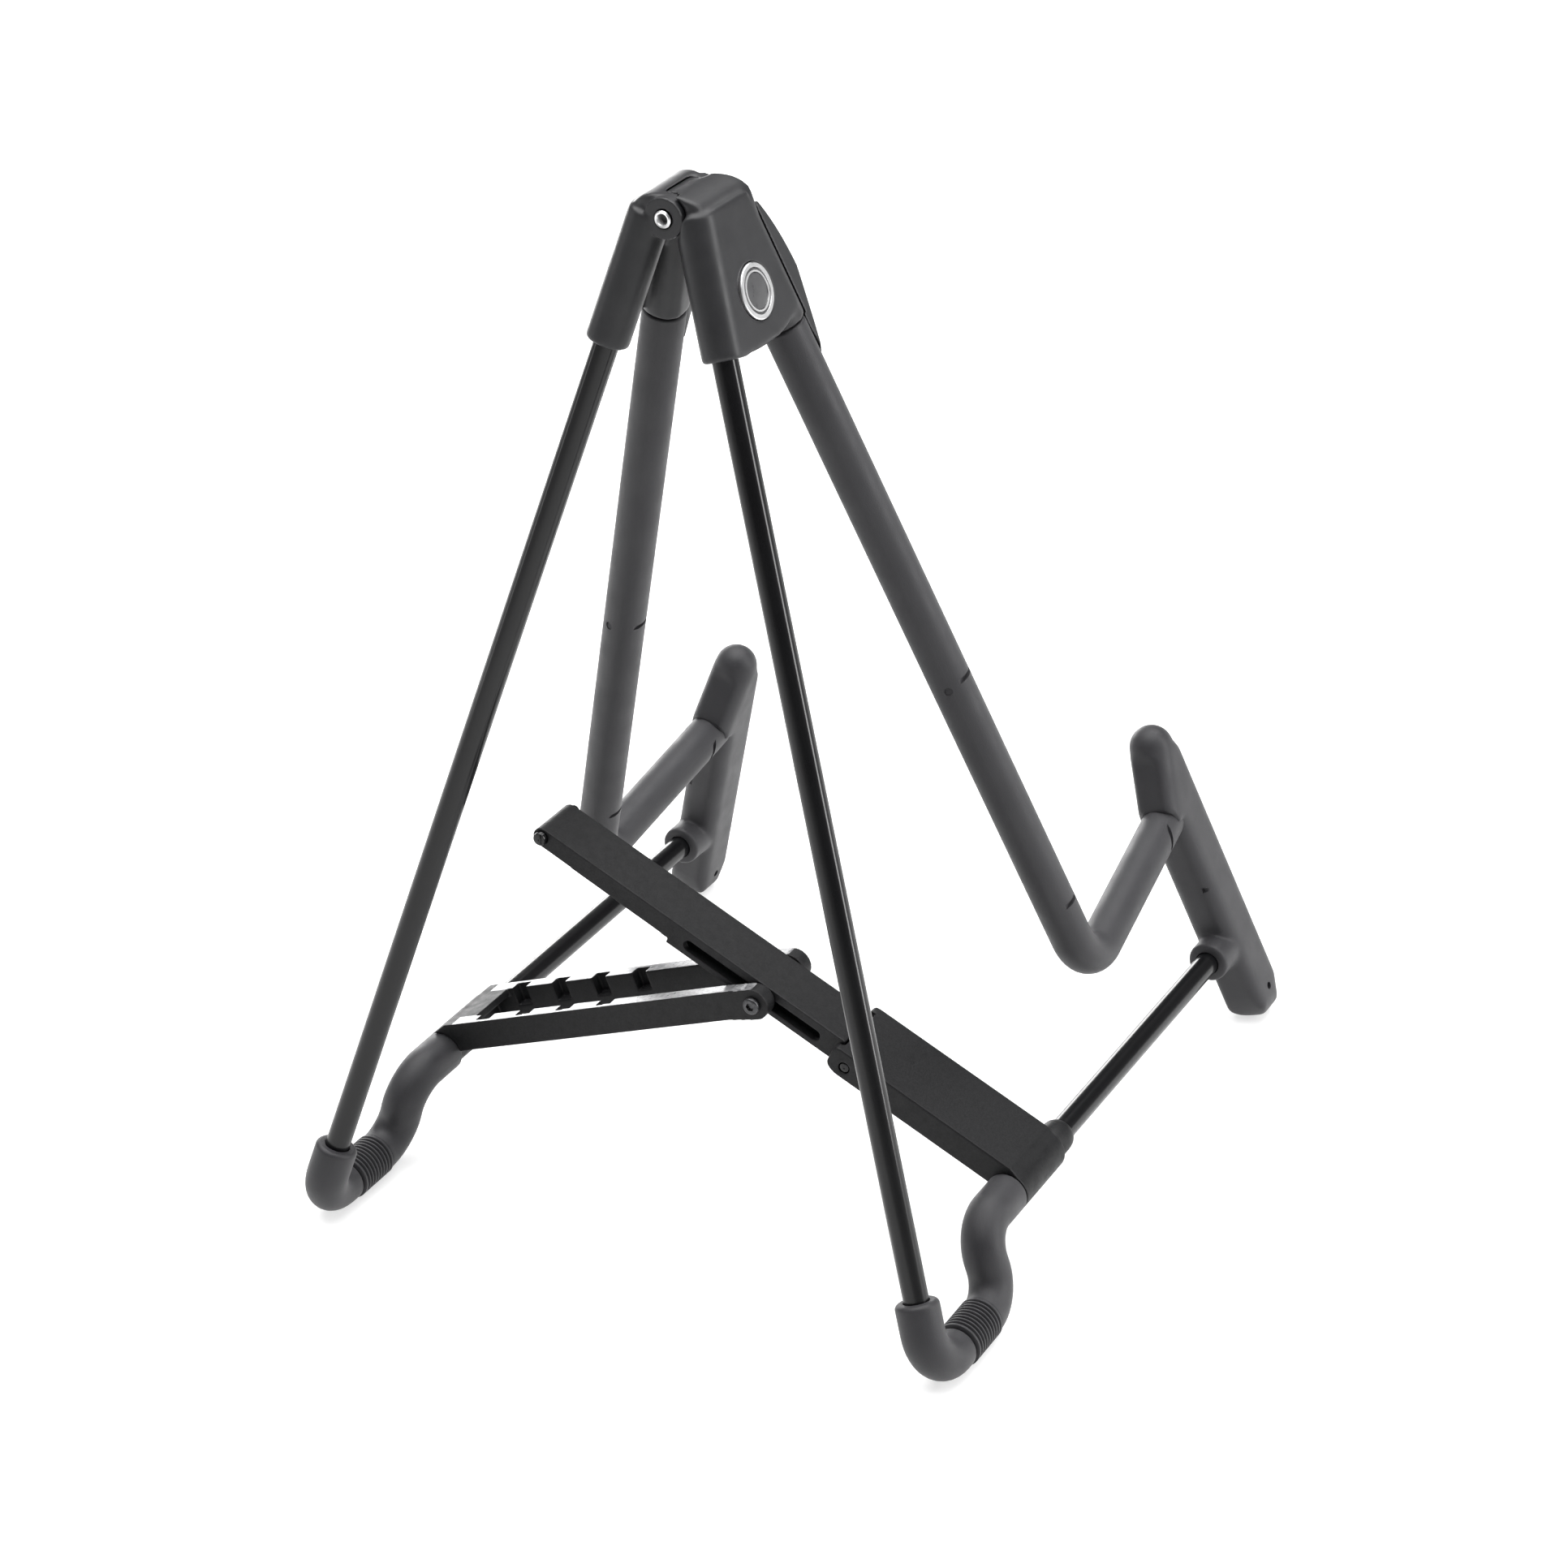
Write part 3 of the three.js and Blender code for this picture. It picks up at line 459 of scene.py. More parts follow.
def gloss_steel():
    """Black lacquer on steel, with a trace of orange peel."""
    finish, shader = new_finish("gloss_steel", (0.003, 0.003, 0.0035), 0.4)
    vary(finish, shader, "Base Color", (0.002, 0.002, 0.0025), (0.004, 0.004, 0.0045), 40)
    vary(finish, shader, "Roughness", grey(0.36), grey(0.44), 60)
    shader.inputs["Specular IOR Level"].default_value = 0.06
    shader.inputs["Coat Weight"].default_value = 0.55
    shader.inputs["Coat Roughness"].default_value = 0.12
    bump(finish, shader, noise(finish, 500, 2), 0.000004)
    return finish


def textured_plastic():
    """Matte black plastic with a fine spark-eroded texture."""
    finish, shader = new_finish("textured_plastic", (0.0065, 0.0065, 0.0072), 0.5)
    vary(finish, shader, "Base Color", (0.0045, 0.0045, 0.005), (0.009, 0.009, 0.0098), 1500)
    vary(finish, shader, "Roughness", grey(0.42), grey(0.56), 300)
    shader.inputs["Specular IOR Level"].default_value = 0.2
    bump(finish, shader, noise(finish, 3200, 3), 0.00005)
    return finish


def painted_rail_highlight():
    """The same plastic on the smooth rails of the fork, coloured paler as a painted highlight, so that they
    look bright.
    """
    finish, shader = new_finish("painted_rail_highlight", (0.15, 0.15, 0.155), 0.3)
    vary(finish, shader, "Base Color", (0.07, 0.07, 0.075), (0.26, 0.26, 0.265), 700)
    vary(finish, shader, "Roughness", grey(0.25), grey(0.4), 500)
    shader.inputs["Specular IOR Level"].default_value = 0.8
    return finish


def satin_plastic():
    """Smooth near-black plastic of the housings."""
    finish, shader = new_finish("satin_plastic", (0.017, 0.017, 0.0185), 0.4)
    vary(finish, shader, "Base Color", (0.015, 0.015, 0.0165), (0.019, 0.019, 0.0205), 150)
    vary(finish, shader, "Roughness", grey(0.38), grey(0.46), 160)
    shader.inputs["Specular IOR Level"].default_value = 0.32
    bump(finish, shader, noise(finish, 1500, 3), 0.00001)
    return finish


def nylon():
    finish, shader = new_finish("nylon", (0.012, 0.012, 0.013), 0.4)
    vary(finish, shader, "Base Color", (0.009, 0.009, 0.010), (0.016, 0.016, 0.017), 200)
    vary(finish, shader, "Roughness", grey(0.35), grey(0.5), 200)
    return finish


def bright_zinc():
    """Bright plated metal, a little uneven in colour and shine."""
    finish, shader = new_finish("bright_zinc", (0.72, 0.72, 0.73), 0.3)
    shader.inputs["Metallic"].default_value = 1
    vary(finish, shader, "Base Color", (0.66, 0.66, 0.67), (0.8, 0.8, 0.8), 150)
    vary(finish, shader, "Roughness", grey(0.28), grey(0.38), 200)
    return finish


def badge_lacquer():
    """Dark grey lacquer in the hollows of the badge."""
    finish, shader = new_finish("badge_lacquer", (0.05, 0.05, 0.052), 0.3)
    vary(finish, shader, "Base Color", (0.042, 0.042, 0.044), (0.06, 0.06, 0.062), 300)
    vary(finish, shader, "Roughness", grey(0.25), grey(0.36), 300)
    return finish


def black_screw():
    """Blackened steel of the screws and pins."""
    finish, shader = new_finish("black_screw", (0.02, 0.02, 0.021), 0.32)
    shader.inputs["Metallic"].default_value = 0.7
    vary(finish, shader, "Base Color", (0.03, 0.03, 0.032), (0.08, 0.08, 0.083), 600)
    vary(finish, shader, "Roughness", grey(0.25), grey(0.42), 500)
    return finish


rubber = soft_rubber()
steel = gloss_steel()
plastic = textured_plastic()
# pale finish that paints a highlight on the fork's rails
rail_highlight = painted_rail_highlight()
satin = satin_plastic()
dark_nylon = nylon()
zinc = bright_zinc()
inlay = badge_lacquer()
screw_black = black_screw()


# ---- Tubes and sleeves ----
def round_end(distance, radius, edge, inward):
    """Profile points round an end's outer edge, from its face to its side."""
    points = []
    for i in range(6):
        angle = math.radians(90 * i / 5)
        along = distance + inward * edge * (1 - math.sin(angle))
        points.append((along, radius - edge * (1 - math.cos(angle))))
    return points[::-1]


def sleeve_profile(path, radius, edge=0.9, depth=5.0):
    """Outer skin with rounded ends and an open bore for a short way in at each end."""
    start = round_end(0, radius, edge, 1)
    end = round_end(path.length, radius, edge, -1)
    profile = [(depth, 0), (depth, BORE), (0.0, BORE)]
    profile += sorted(start)
    profile += sorted(end, key=lambda point: point[0])
    profile += [(path.length, BORE), (path.length - depth, BORE), (path.length - depth, 0)]
    return profile


def rear_tube():
    corners = (
        on_rear_leg(12),
        on_rear_leg(FOOT_LEVEL),
        (S_BEND_U, FOOT_LEVEL),
        (S_BEND_U, ROD_LEVEL),
        (ROD_END_U, ROD_LEVEL),
    )
    path = Path(corners, (FOOT_BEND, S_BEND_RADIUS, S_BEND_RADIUS))
    return swept(path, [(0, 0), (0, TUBE_RADIUS), (path.length, TUBE_RADIUS), (path.length, 0)])


def sleeve_slit(point, slope):
    """A short moulding slit across both sides of a sleeve, as tools to cut with."""
    down = Vector((0, slope, -1)).normalized()
    across = down.cross(Vector((1, 0, 0)))
    centre = in_frame(point)
    tools = []
    for sign in (-1, 1):
        corners = [(sign * 6, -6), (sign * 9, -6), (sign * 9, 6), (sign * 6, 6)]
        rings = []
        for half in (-0.85, 0.85):
            rings.append([centre + Vector((n, 0, 0)) + across * c + down * half for n, c in corners])
        tools.append(rings_to_mesh(rings))
    return tools


def sleeve_dimple(point):
    """A shallow round gate mark on the back of a sleeve."""
    centre = in_frame(point)
    facing = Vector((0.3, 0.95, 0))
    return cylinder(centre + facing * 7, centre + facing * 9, 1.5, 20)


def front_sleeve():
    path = Path((on_front_leg(FRONT_SOCKET_END + 0.4), V_CORNER, on_arm(HORN_FACE_U - 7)), (V_BEND_RADIUS,))
    skin = swept(path, sleeve_profile(path, SLEEVE_RADIUS))
    marks = [sleeve_dimple(on_front_leg(DIMPLE_LEVEL))]
    for level in SLIT_LEVELS:
        marks += sleeve_slit(on_front_leg(level), FRONT_SLOPE)
    marks += sleeve_slit(on_arm(ARM_SLIT_U), -1 / ARM_SLOPE)
    return shaped(skin, cuts(marks))


def foot_elbow():
    foot = on_rear_leg(FOOT_LEVEL)
    path = Path((on_rear_leg(ELBOW_START), foot, (ELBOW_END_U, FOOT_LEVEL)), (FOOT_BEND,))
    return swept(path, sleeve_profile(path, SLEEVE_RADIUS, edge=1.7, depth=6))


def grip_band():
    """Ten narrow rings with rounded crests."""
    start = ELBOW_END_U - BORE_GAP
    pitch = (start - RING_END_U) / RING_COUNT
    crest = SLEEVE_RADIUS + 0.5
    groove = 1.1
    profile = [(BORE, RING_END_U), (crest - 0.4, RING_END_U), (crest, RING_END_U + 0.25)]
    for i in range(1, RING_COUNT):
        u = RING_END_U + i * pitch
        profile += [(crest, u - 0.6), (crest - 0.2, u - 0.42), (crest - groove, u - 0.3)]
        profile += [(crest - groove, u + 0.3), (crest - 0.2, u + 0.42), (crest, u + 0.6)]
    profile += [(crest, start - 0.25), (crest - 0.4, start), (BORE, start), (BORE, RING_END_U)]
    return turned(profile, (0, 0, -FOOT_LEVEL))


def s_bend_sleeve():
    corners = (
        (RING_END_U - BORE_GAP, FOOT_LEVEL),
        (S_BEND_U, FOOT_LEVEL),
        (S_BEND_U, ROD_LEVEL),
        (S_SLEEVE_END_U, ROD_LEVEL),
    )
    path = Path(corners, (S_BEND_RADIUS, S_BEND_RADIUS))
    return swept(path, sleeve_profile(path, SLEEVE_RADIUS, edge=0.6, depth=5))


def stop_collar(start):
    end = start - COLLAR_LENGTH
    profile = [(BORE, end), (COLLAR_RADIUS - 1.2, end)]
    shoulder = ((0.7, 0.3), (0.3, 1.2), (0.1, 2.4), (0, 4))
    profile += [(COLLAR_RADIUS - drop, end + y) for drop, y in shoulder]
    profile += [(COLLAR_RADIUS, start - 0.5), (COLLAR_RADIUS - 0.3, start), (BORE, start), (BORE, end)]
    return turned(profile, (0, 0, -ROD_LEVEL))


# ---- Horn ----
def horn_outline():
    half = HORN_THICKNESS / 2
    points = [(-152.6, -279)]
    points += arc((HORN_DOME[0], -HORN_DOME[1]), half, -20, 169)
    points.append((-194.4, 14 - HORN_BOTTOM))
    points += curve(points[-1], (-196.4, -HORN_BOTTOM), (-186, -HORN_BOTTOM))
    points += curve(points[-1], (-177, -HORN_BOTTOM), (-173.4, 11.7 - HORN_BOTTOM))
    points += [(-159.4, -301), (-155.2, -282)]
    return points


def horn_front():
    """Seen from the front: round at both ends."""
    half = HORN_THICKNESS / 2
    points = arc((0, -HORN_DOME[1]), half, 0, 180)
    points += arc((0, half + 0.3 - HORN_BOTTOM), half, 180, 360)
    return prism(points, -210, -140, along_y)


def horn_cap():
    """A round dome at the top that spreads out downwards, so the head is round only at its tip."""
    radius = 0.98 * HORN_THICKNESS / 2
    reach = 150
    profile = [(0, -reach), (radius + HORN_FLARE * reach, -reach)]
    profile += arc((0, 0), radius, 0, 90, 10)[:-1]
    profile.append((0, radius))
    cap = turned(profile)
    stand = Matrix.Translation(in_frame(HORN_DOME)) @ Matrix.Rotation(math.radians(90), 4, "X")
    cap.data.transform(stand)
    return cap


def horn_bar(origin, slope, across, along, edge):
    """A rounded bar down the horn from a point; across is measured forward from the line through it."""
    half = HORN_THICKNESS / 2
    back, front = across
    corners = ((half - edge, front - edge, 0), (edge - half, front - edge, 90),
               (edge - half, back + edge, 180), (half - edge, back + edge, 270))
    outline = []
    for x, c, angle in corners:
        outline += arc((x, c), edge, angle, angle + 90, 8)
    down = Vector((0, slope, -1)).normalized()
    forward = down.cross(Vector((1, 0, 0)))

    def place(x, y, depth):
        return in_frame(origin, x) + forward * y + down * depth

    return prism(outline, along[0], along[1], place)


def horn():
    half = HORN_THICKNESS / 2
    edges = shaped(
        horn_bar(HORN_MIDDLE, HORN_SLOPE, (-30, 11.8), (-60, -17), HORN_EDGE),
        unions([horn_bar(HORN_MIDDLE, HORN_SLOPE, (-9.8, 11.8), (-18, 90), HORN_EDGE)]),
    )
    head_back = horn_bar(HORN_DOME, HORN_BACK_SLOPE, (-half, 60), (-20, 160), 0.99 * half)
    slab = prism(horn_outline(), -half, half, across_frame)
    rounding = [("INTERSECT", tool) for tool in (edges, head_back, horn_front(), horn_cap())]
    boss = cylinder(in_frame((ROD_BOSS_END_U, ROD_LEVEL)), in_frame((-176, ROD_LEVEL)), ROD_BOSS_RADIUS)
    body = softened(shaped(slab, rounding + unions([boss])), 0.5, 36)
    hole_u, hole_t = HORN_HOLE
    rod_start = in_frame((ROD_BOSS_END_U + 1, ROD_LEVEL))
    bores = [
        cylinder(rod_start + Vector((0, 5, 0)), in_frame((ROD_END_U - BORE_GAP, ROD_LEVEL)), BORE),
        cylinder((-20, hole_u, -hole_t), (20, hole_u, -hole_t), 1.4),
        cylinder(in_frame(HORN_DOT, 4), in_frame(HORN_DOT, 12), 1.1),
    ]
    return shaped(body, cuts(bores))


# ---- Head ----
def shoulder_outline():
    top = -HINGE_T + KNUCKLE_RADIUS
    points = [(HINGE_N, top)]
    points += curve(points[-1], (-1, top), (3.6, 5.2))
    points += curve(points[-1], (PLATE_FACE, 1.4), (PLATE_FACE, -9))
    points += [(PLATE_FACE, -16), (-1.5, -16)]
    points += curve(points[-1], (-3, -6), (HINGE_N, -3))
    return points


def shoulder_plan():
    """The shoulder seen from above, with round outer corners."""
    inner = PLATE_FACE - HOUSING_CORNER
    points = [(-20, HOUSING_REAR_U), (inner, HOUSING_REAR_U)]
    points += curve(points[-1], (PLATE_FACE, HOUSING_REAR_U), (PLATE_FACE, HOUSING_REAR_U - HOUSING_CORNER))
    points.append((PLATE_FACE, HOUSING_FRONT_U + HOUSING_CORNER))
    points += curve(points[-1], (PLATE_FACE, HOUSING_FRONT_U), (inner, HOUSING_FRONT_U))
    points.append((-20, HOUSING_FRONT_U))
    return prism(points, -30, 30, lambda x, y, depth: (x, y, depth))


def plate_outline():
    points = [(9, 1), (17, -SOCKET_END + 0.6)]
    points += curve(points[-1], (4, -46.4), (-7, -45))
    points += curve(points[-1], (-16, -43.6), (-20.9, -39.4))
    points += [(-13.2, -6.6), (-12.6, 1)]
    return points


def plate_place(x, y, depth):
    """The plate's face is level with the rear socket at its rear edge, and rises towards the front."""
    rear_edge = PLATE_REAR_U - PLATE_REAR_SLOPE * y
    rise = PLATE_RISE * (rear_edge - x)
    return (depth or PLATE_REAR_FACE + rise, x, y)


def level_with_plate():
    """Slants the shoulder, so that its face lies in the plate's."""
    shift = PLATE_REAR_FACE - PLATE_FACE + PLATE_RISE * PLATE_REAR_U
    slant = Matrix.Identity(4)
    slant[0][1] = -PLATE_RISE
    slant[0][2] = -PLATE_RISE * PLATE_REAR_SLOPE
    slant[0][3] = shift
    return slant


def housing(side):
    other = "a" if side == "b" else "b"
    shoulder = prism(shoulder_outline(), HOUSING_FRONT_U, HOUSING_REAR_U, along_y)
    corner = box((-30, -30, -30), (30, 0, 30))
    turn = Matrix.Rotation(math.radians(HEAD_SLANT), 4, "Z")
    corner.data.transform(Matrix.Translation((HINGE_N + 4.5, KNUCKLES["b"][1][1], 0)) @ turn)
    shoulder = shaped(shoulder, [("INTERSECT", shoulder_plan()), ("DIFFERENCE", corner)])
    shoulder.data.transform(level_with_plate())
    rear = cylinder(in_frame(on_rear_leg(0)), in_frame(on_rear_leg(SOCKET_END)), SOCKET_RADIUS)
    front_end = in_frame(on_front_leg(FRONT_SOCKET_END))
    front = cylinder(in_frame(on_front_leg(2)), front_end, FRONT_SOCKET_RADIUS)
    plate = prism(plate_outline(), 2.6, 0, plate_place)
    room = [box((-20, -40, -60), (HINGE_N + 0.2, 40, -HINGE_T))]
    for start, end in KNUCKLES[other]:
        room.append(cylinder(on_hinge(start + 0.35), on_hinge(end - 0.35), KNUCKLE_RADIUS + 0.4))
    shell = softened(shaped(shoulder, unions([plate, rear, front]) + cuts(room)), 0.6, 24)
    knuckles = [cylinder(on_hinge(start), on_hinge(end), KNUCKLE_RADIUS) for start, end in KNUCKLES[side]]
    badge_u, badge_t = BADGE_CENTRE
    bores = [
        cylinder(in_frame(on_rear_leg(30)), in_frame(on_rear_leg(60)), BORE),
        cylinder(in_frame(on_front_leg(30)), in_frame(on_front_leg(60)), BORE),
        cylinder(on_hinge(20), on_hinge(-30), PIN_RADIUS + 0.6),
        cylinder(
            (PLATE_FACE - 1.6, badge_u, -badge_t),
            (PLATE_FACE + 5, badge_u, -badge_t),
            BADGE_RADIUS + 0.2,
        ),
    ]
    return softened(shaped(shell, unions(knuckles) + cuts(bores)), 0.4, 3)


def leg_cover():
    outline = [(-13.9, -6.6), (-18.6, -4.2)]
    outline += curve(outline[-1], (-25.4, -14), (-29.2, -29))
    outline += curve(outline[-1], (-32.8, -43), (-31.6, -60))
    outline += [(-30, -60), (-21.5, -39.7)]
    body = prism(outline, -5.8, 6.6, across_frame)
    socket_end = in_frame(on_front_leg(FRONT_SOCKET_END + 0.2))
    lip_low, lip_high = in_frame(on_front_leg(61)), in_frame(on_front_leg(-5))
    lip = cylinder(lip_low, lip_high, SLEEVE_RADIUS + 0.2, end_radius=21)
    body = shaped(body, [("INTERSECT", lip)])
    tools = [
        cylinder(in_frame(on_front_leg(-5)), socket_end, FRONT_SOCKET_RADIUS + BORE_GAP),
        cylinder(in_frame(on_front_leg(FRONT_SOCKET_END)), in_frame(on_front_leg(70)), SLEEVE_RADIUS + 0.1),
    ]
    return softened(shaped(body, cuts(tools)), 0.35, 10)


def on_badge(profile):
    disc = turned(profile, sides=96)
    lift = Matrix.Translation((PLATE_FACE - 1.2, BADGE_CENTRE[0], -BADGE_CENTRE[1]))
    disc.data.transform(lift @ Matrix.Rotation(math.radians(-90), 4, "Z"))
    return disc


def badge():
    """A bright disc with a broad raised rim and a narrow raised ring."""
    profile = [(0, 0), (BADGE_RADIUS, 0), (BADGE_RADIUS, 1.1), (BADGE_RADIUS - 0.3, 1.35)]
    profile += [(7.5, 1.35), (7.3, 0.8), (6.7, 0.8), (6.6, 1.3), (6, 1.3), (5.9, 0.8), (0, 0.8)]
    return on_badge(profile)


def badge_inlay():
    """Dark inlay: a narrow ring between the raised rings, and a plain low dome in the middle."""
    ring = on_badge([(6.72, 0.85), (7.28, 0.85), (7.28, 1.05), (6.72, 1.05), (6.72, 0.85)])
    dome = on_badge([(0, 0.85), (5.8, 0.85), (5.8, 1.05), (4, 1.22), (2, 1.31), (0, 1.34)])
    return shaped(ring, unions([dome]))


def hinge_pin():
    """Rivet with a rolled edge and a tapered blind bore at each end."""
    front = KNUCKLES["b"][1][1] - BORE_GAP
    rear = KNUCKLES["b"][0][0] + BORE_GAP
    bore, head = 1.7, PIN_RADIUS + 0.3
    profile = [(0, front + 6), (bore - 0.3, front + 5), (bore, front), (bore + 0.3, front - 0.5)]
    profile += [(head - 0.4, front - 0.6), (head, front - 0.2), (head, front), (PIN_RADIUS, front)]
    profile += [(PIN_RADIUS, rear), (head, rear), (head, rear + 0.2), (head - 0.4, rear + 0.6)]
    profile += [(bore + 0.3, rear + 0.5), (bore, rear), (bore - 0.3, rear - 5), (0, rear - 6)]
    return turned(profile)


def hinge_pin_bore_shade():
    """A dark core in the rivet's bore: painted shade that darkens each bore from a little way in."""
    rear, front = KNUCKLES["b"][0][0] - 1.5, KNUCKLES["b"][1][1] + 1.5
    return turned([(0, front), (1.6, front), (1.6, rear), (0, rear)])


# ---- Spreader ----
def channel(low_a, high_a, low_b, high_b, width, middle=MID_Y):
    return box((low_a, middle - width / 2, low_b), (high_a, middle + width / 2, high_b))


def bar(outline, width, middle=MID_Y):
    return prism(outline, middle - width / 2, middle + width / 2, along_y)


def cross_hole(centre, radius):
    return cylinder((centre[0], 60, centre[1]), (centre[0], -60, centre[1]), radius)


def wide_channel():
    outline = [(-2.4, WIDE_TOP - 2), (3, WIDE_TOP), (WIDE_LENGTH - 2, WIDE_TOP)]
    outline += curve(outline[-1], (WIDE_LENGTH, WIDE_TOP), (WIDE_LENGTH, WIDE_TOP - 3))
    outline.append((WIDE_LENGTH, 1.6))
    outline += curve(outline[-1], (WIDE_LENGTH - 1, WIDE_LOW), (WIDE_LENGTH - 6, WIDE_LOW))
    outline.append((0, WIDE_LOW))
    half = WIDE_WIDTH / 2
    inner = WIDE_WIDTH - 2 * WIDE_WALL
    tools = [
        channel(11, WIDE_LENGTH + 1, WIDE_LOW - 9, WIDE_TOP - 2.6, inner, WIDE_MID_Y),
        channel(WIDE_LENGTH - 2.5, WIDE_LENGTH + 1, 0, WIDE_TOP + 1, inner, WIDE_MID_Y),
        cross_hole((0, 0), LINER_RADIUS + BORE_GAP),
        cross_hole(KNEE, KNEE_PIN_RADIUS + BORE_GAP),
    ]
    barrel = cylinder((0, WIDE_MID_Y - half, 0), (0, WIDE_MID_Y + half, 0), BARREL_RADIUS)
    steps = unions([barrel]) + cuts(tools)
    return softened(shaped(bar(outline, WIDE_WIDTH, WIDE_MID_Y), steps), 0.4, 4)


def slotted_bar():
    pin_a = NOTCH_PIN[0]
    knee_a, knee_b = KNEE
    end = SLOTTED_END - pin_a
    inner = SLOTTED_WIDTH - 2 * SLOTTED_WALL
    outline = [(SLOTTED_START, SLOTTED_TOP), (SLOTTED_START, knee_b + 3)]
    outline += arc(KNEE, 3, 90, 270)
    outline += [(SLOTTED_STEP, knee_b - 3), (SLOTTED_STEP, knee_b - 1.2)]
    outline += arc(NOTCH_PIN, end, -90, 90)
    slot = arc((SLOT_RANGE[0] + SLOT_HALF, SLOT_B), SLOT_HALF, 90, 270)
    slot += arc((SLOT_RANGE[1] - SLOT_HALF, SLOT_B), SLOT_HALF, -90, 90)
    tools = [
        channel(knee_a - 10, pin_a - 4.5, SLOTTED_FLOOR, SLOTTED_TOP - 2.4, inner),
        bar(slot, SLOTTED_WIDTH + 10),
        cross_hole(NOTCH_PIN, NOTCH_PIN_RADIUS + 0.1),
        cross_hole(KNEE, KNEE_PIN_RADIUS + BORE_GAP),
    ]
    return softened(shaped(bar(outline, SLOTTED_WIDTH), cuts(tools)), 0.35, 3)


def notch(index):
    """A pocket in the inside of each arm, open at the top."""
    a = NOTCH_FIRST + NOTCH_PITCH * index
    half = NOTCH_PIN_RADIUS + 0.6
    width = FORK_WIDTH - 2 * FORK_WALL + 2 * NOTCH_DEPTH
    return channel(a - half, a + half, NOTCH_FLOOR, FORK_TOP + 1, width)


def fork_bar():
    pivot_a = FORK_PIVOT[0]
    outline = [(-3, FORK_TOP - 3.6), (5, FORK_TOP), (pivot_a - 9, FORK_TOP)]
    outline += arc(FORK_PIVOT, FORK_EAR_RADIUS, 90, -90)
    outline += [(pivot_a - 12, FORK_LOW), (0, FORK_LOW)]
    half = FORK_WIDTH / 2
    inner = FORK_WIDTH - 2 * FORK_WALL
    barrel_end = S_SLEEVE_END_U - BORE_GAP
    saddle = shaped(
        cylinder((0, MID_Y - half, 0), (0, barrel_end, 0), BARREL_RADIUS),
        cuts([box((-20, -60, -20), (20, 60, FORK_LOW - 1))]),
    )
    barrel = cylinder((0, MID_Y - half, 0), (0, barrel_end, 0), FORK_BARREL_RADIUS)
    tools = [
        channel(FORK_WEB_END, pivot_a + 20, FORK_LOW - 9, FORK_TOP + 9, inner),
        channel(9.5, FORK_WEB_END + 1, FORK_LOW - 9, FORK_TOP - 2.6, inner - 0.02),
    ]
    tools += [notch(index) for index in range(NOTCH_COUNT)]
    tools += [
        cylinder((0, 40, 0), (0, barrel_end, 0), SLEEVE_RADIUS + BORE_GAP),
        cross_hole((0, 0), LINER_RADIUS + BORE_GAP),
        cross_hole(FORK_PIVOT, SCREW_RADIUS + BORE_GAP),
    ]
    steps = unions([saddle, barrel]) + cuts(tools)
    return softened(shaped(bar(outline, FORK_WIDTH), steps), 0.35, 2)


def paint_rail_highlight(fork, finish):
    """Gives the smooth upper faces of both arms a second finish, made paler as a painted highlight."""
    fork.data.materials.append(finish)
    inside = FORK_WIDTH / 2 - FORK_WALL - 0.2
    for face in fork.data.polygons:
        across = abs(face.center.y - MID_Y)
        high = face.center.z > FORK_TOP - 0.5 and face.normal.z > 0.8
        if high and across > inside and face.center.x > RAIL_START:
            face.material_index = 1


def liner(from_y, to_y):
    profile = [(BORE, to_y), (LINER_RADIUS, to_y), (LINER_RADIUS, from_y), (BORE, from_y), (BORE, to_y)]
    return turned(profile)


def plain_pin(centre, radius, half, middle=MID_Y):
    """A pin across the spreader, with a small round edge and a centre mark at each end."""
    side = [(0, half - 0.4), (0.5, half), (radius - 0.5, half)]
    side += [(radius - 0.15, half - 0.15), (radius, half - 0.5)]
    profile = [(across, -y) for across, y in side] + side[::-1]
    return turned(profile, (centre[0], middle, centre[1]))


def ear_screw(sign):
    """Socket-head screw in one ear of the fork bar."""
    outer = FORK_WIDTH / 2 + BORE_GAP
    inner = SLOTTED_WIDTH / 2 + 2 * BORE_GAP
    profile = [(0, inner), (SCREW_RADIUS, inner), (SCREW_RADIUS, outer), (3, outer), (3, outer + 1)]
    profile += [(2.85, outer + 1.3), (2.5, outer + 1.5), (0, outer + 1.5)]
    profile = [(radius, y * sign) for radius, y in profile]
    screw = turned(profile, (FORK_PIVOT[0], MID_Y, FORK_PIVOT[1]))
    centre = Vector((FORK_PIVOT[0], MID_Y + sign * (outer + 0.6), FORK_PIVOT[1]))
    socket = cylinder(centre, centre + Vector((0, sign * 3, 0)), 1.6, 6)
    return shaped(screw, cuts([socket]))


# ---- Assembly ----
def build_side(side):
    place = side_place(side)
    body = f"side_{side}"
    barrel_end = MID_Y - FORK_WIDTH / 2 if side == "b" else WIDE_MID_Y - WIDE_WIDTH / 2
    parts = (
        ("rear_tube", rear_tube(), steel, "steel"),
        ("front_sleeve", front_sleeve(), rubber, "rubber"),
        ("foot_elbow", foot_elbow(), rubber, "rubber"),
        ("grip_band", grip_band(), rubber, "rubber"),
        ("s_bend_sleeve", s_bend_sleeve(), rubber, "rubber"),
        ("stop_collar", stop_collar(barrel_end - BORE_GAP), plastic, "plastic"),
        ("horn", horn(), rubber, "rubber"),
        ("housing", housing(side), satin, "plastic"),
        ("leg_cover", leg_cover(), satin, "plastic"),
        ("badge", badge(), zinc, "bright"),
    )
    finished(badge_inlay(), f"badge_inlay_{side}", place, inlay, body, [])
    for name, shape, finish, slot in parts:
        node = f"{name}_{side}"
        finished(shape, f"{node}_skin", place, finish, body, [node])


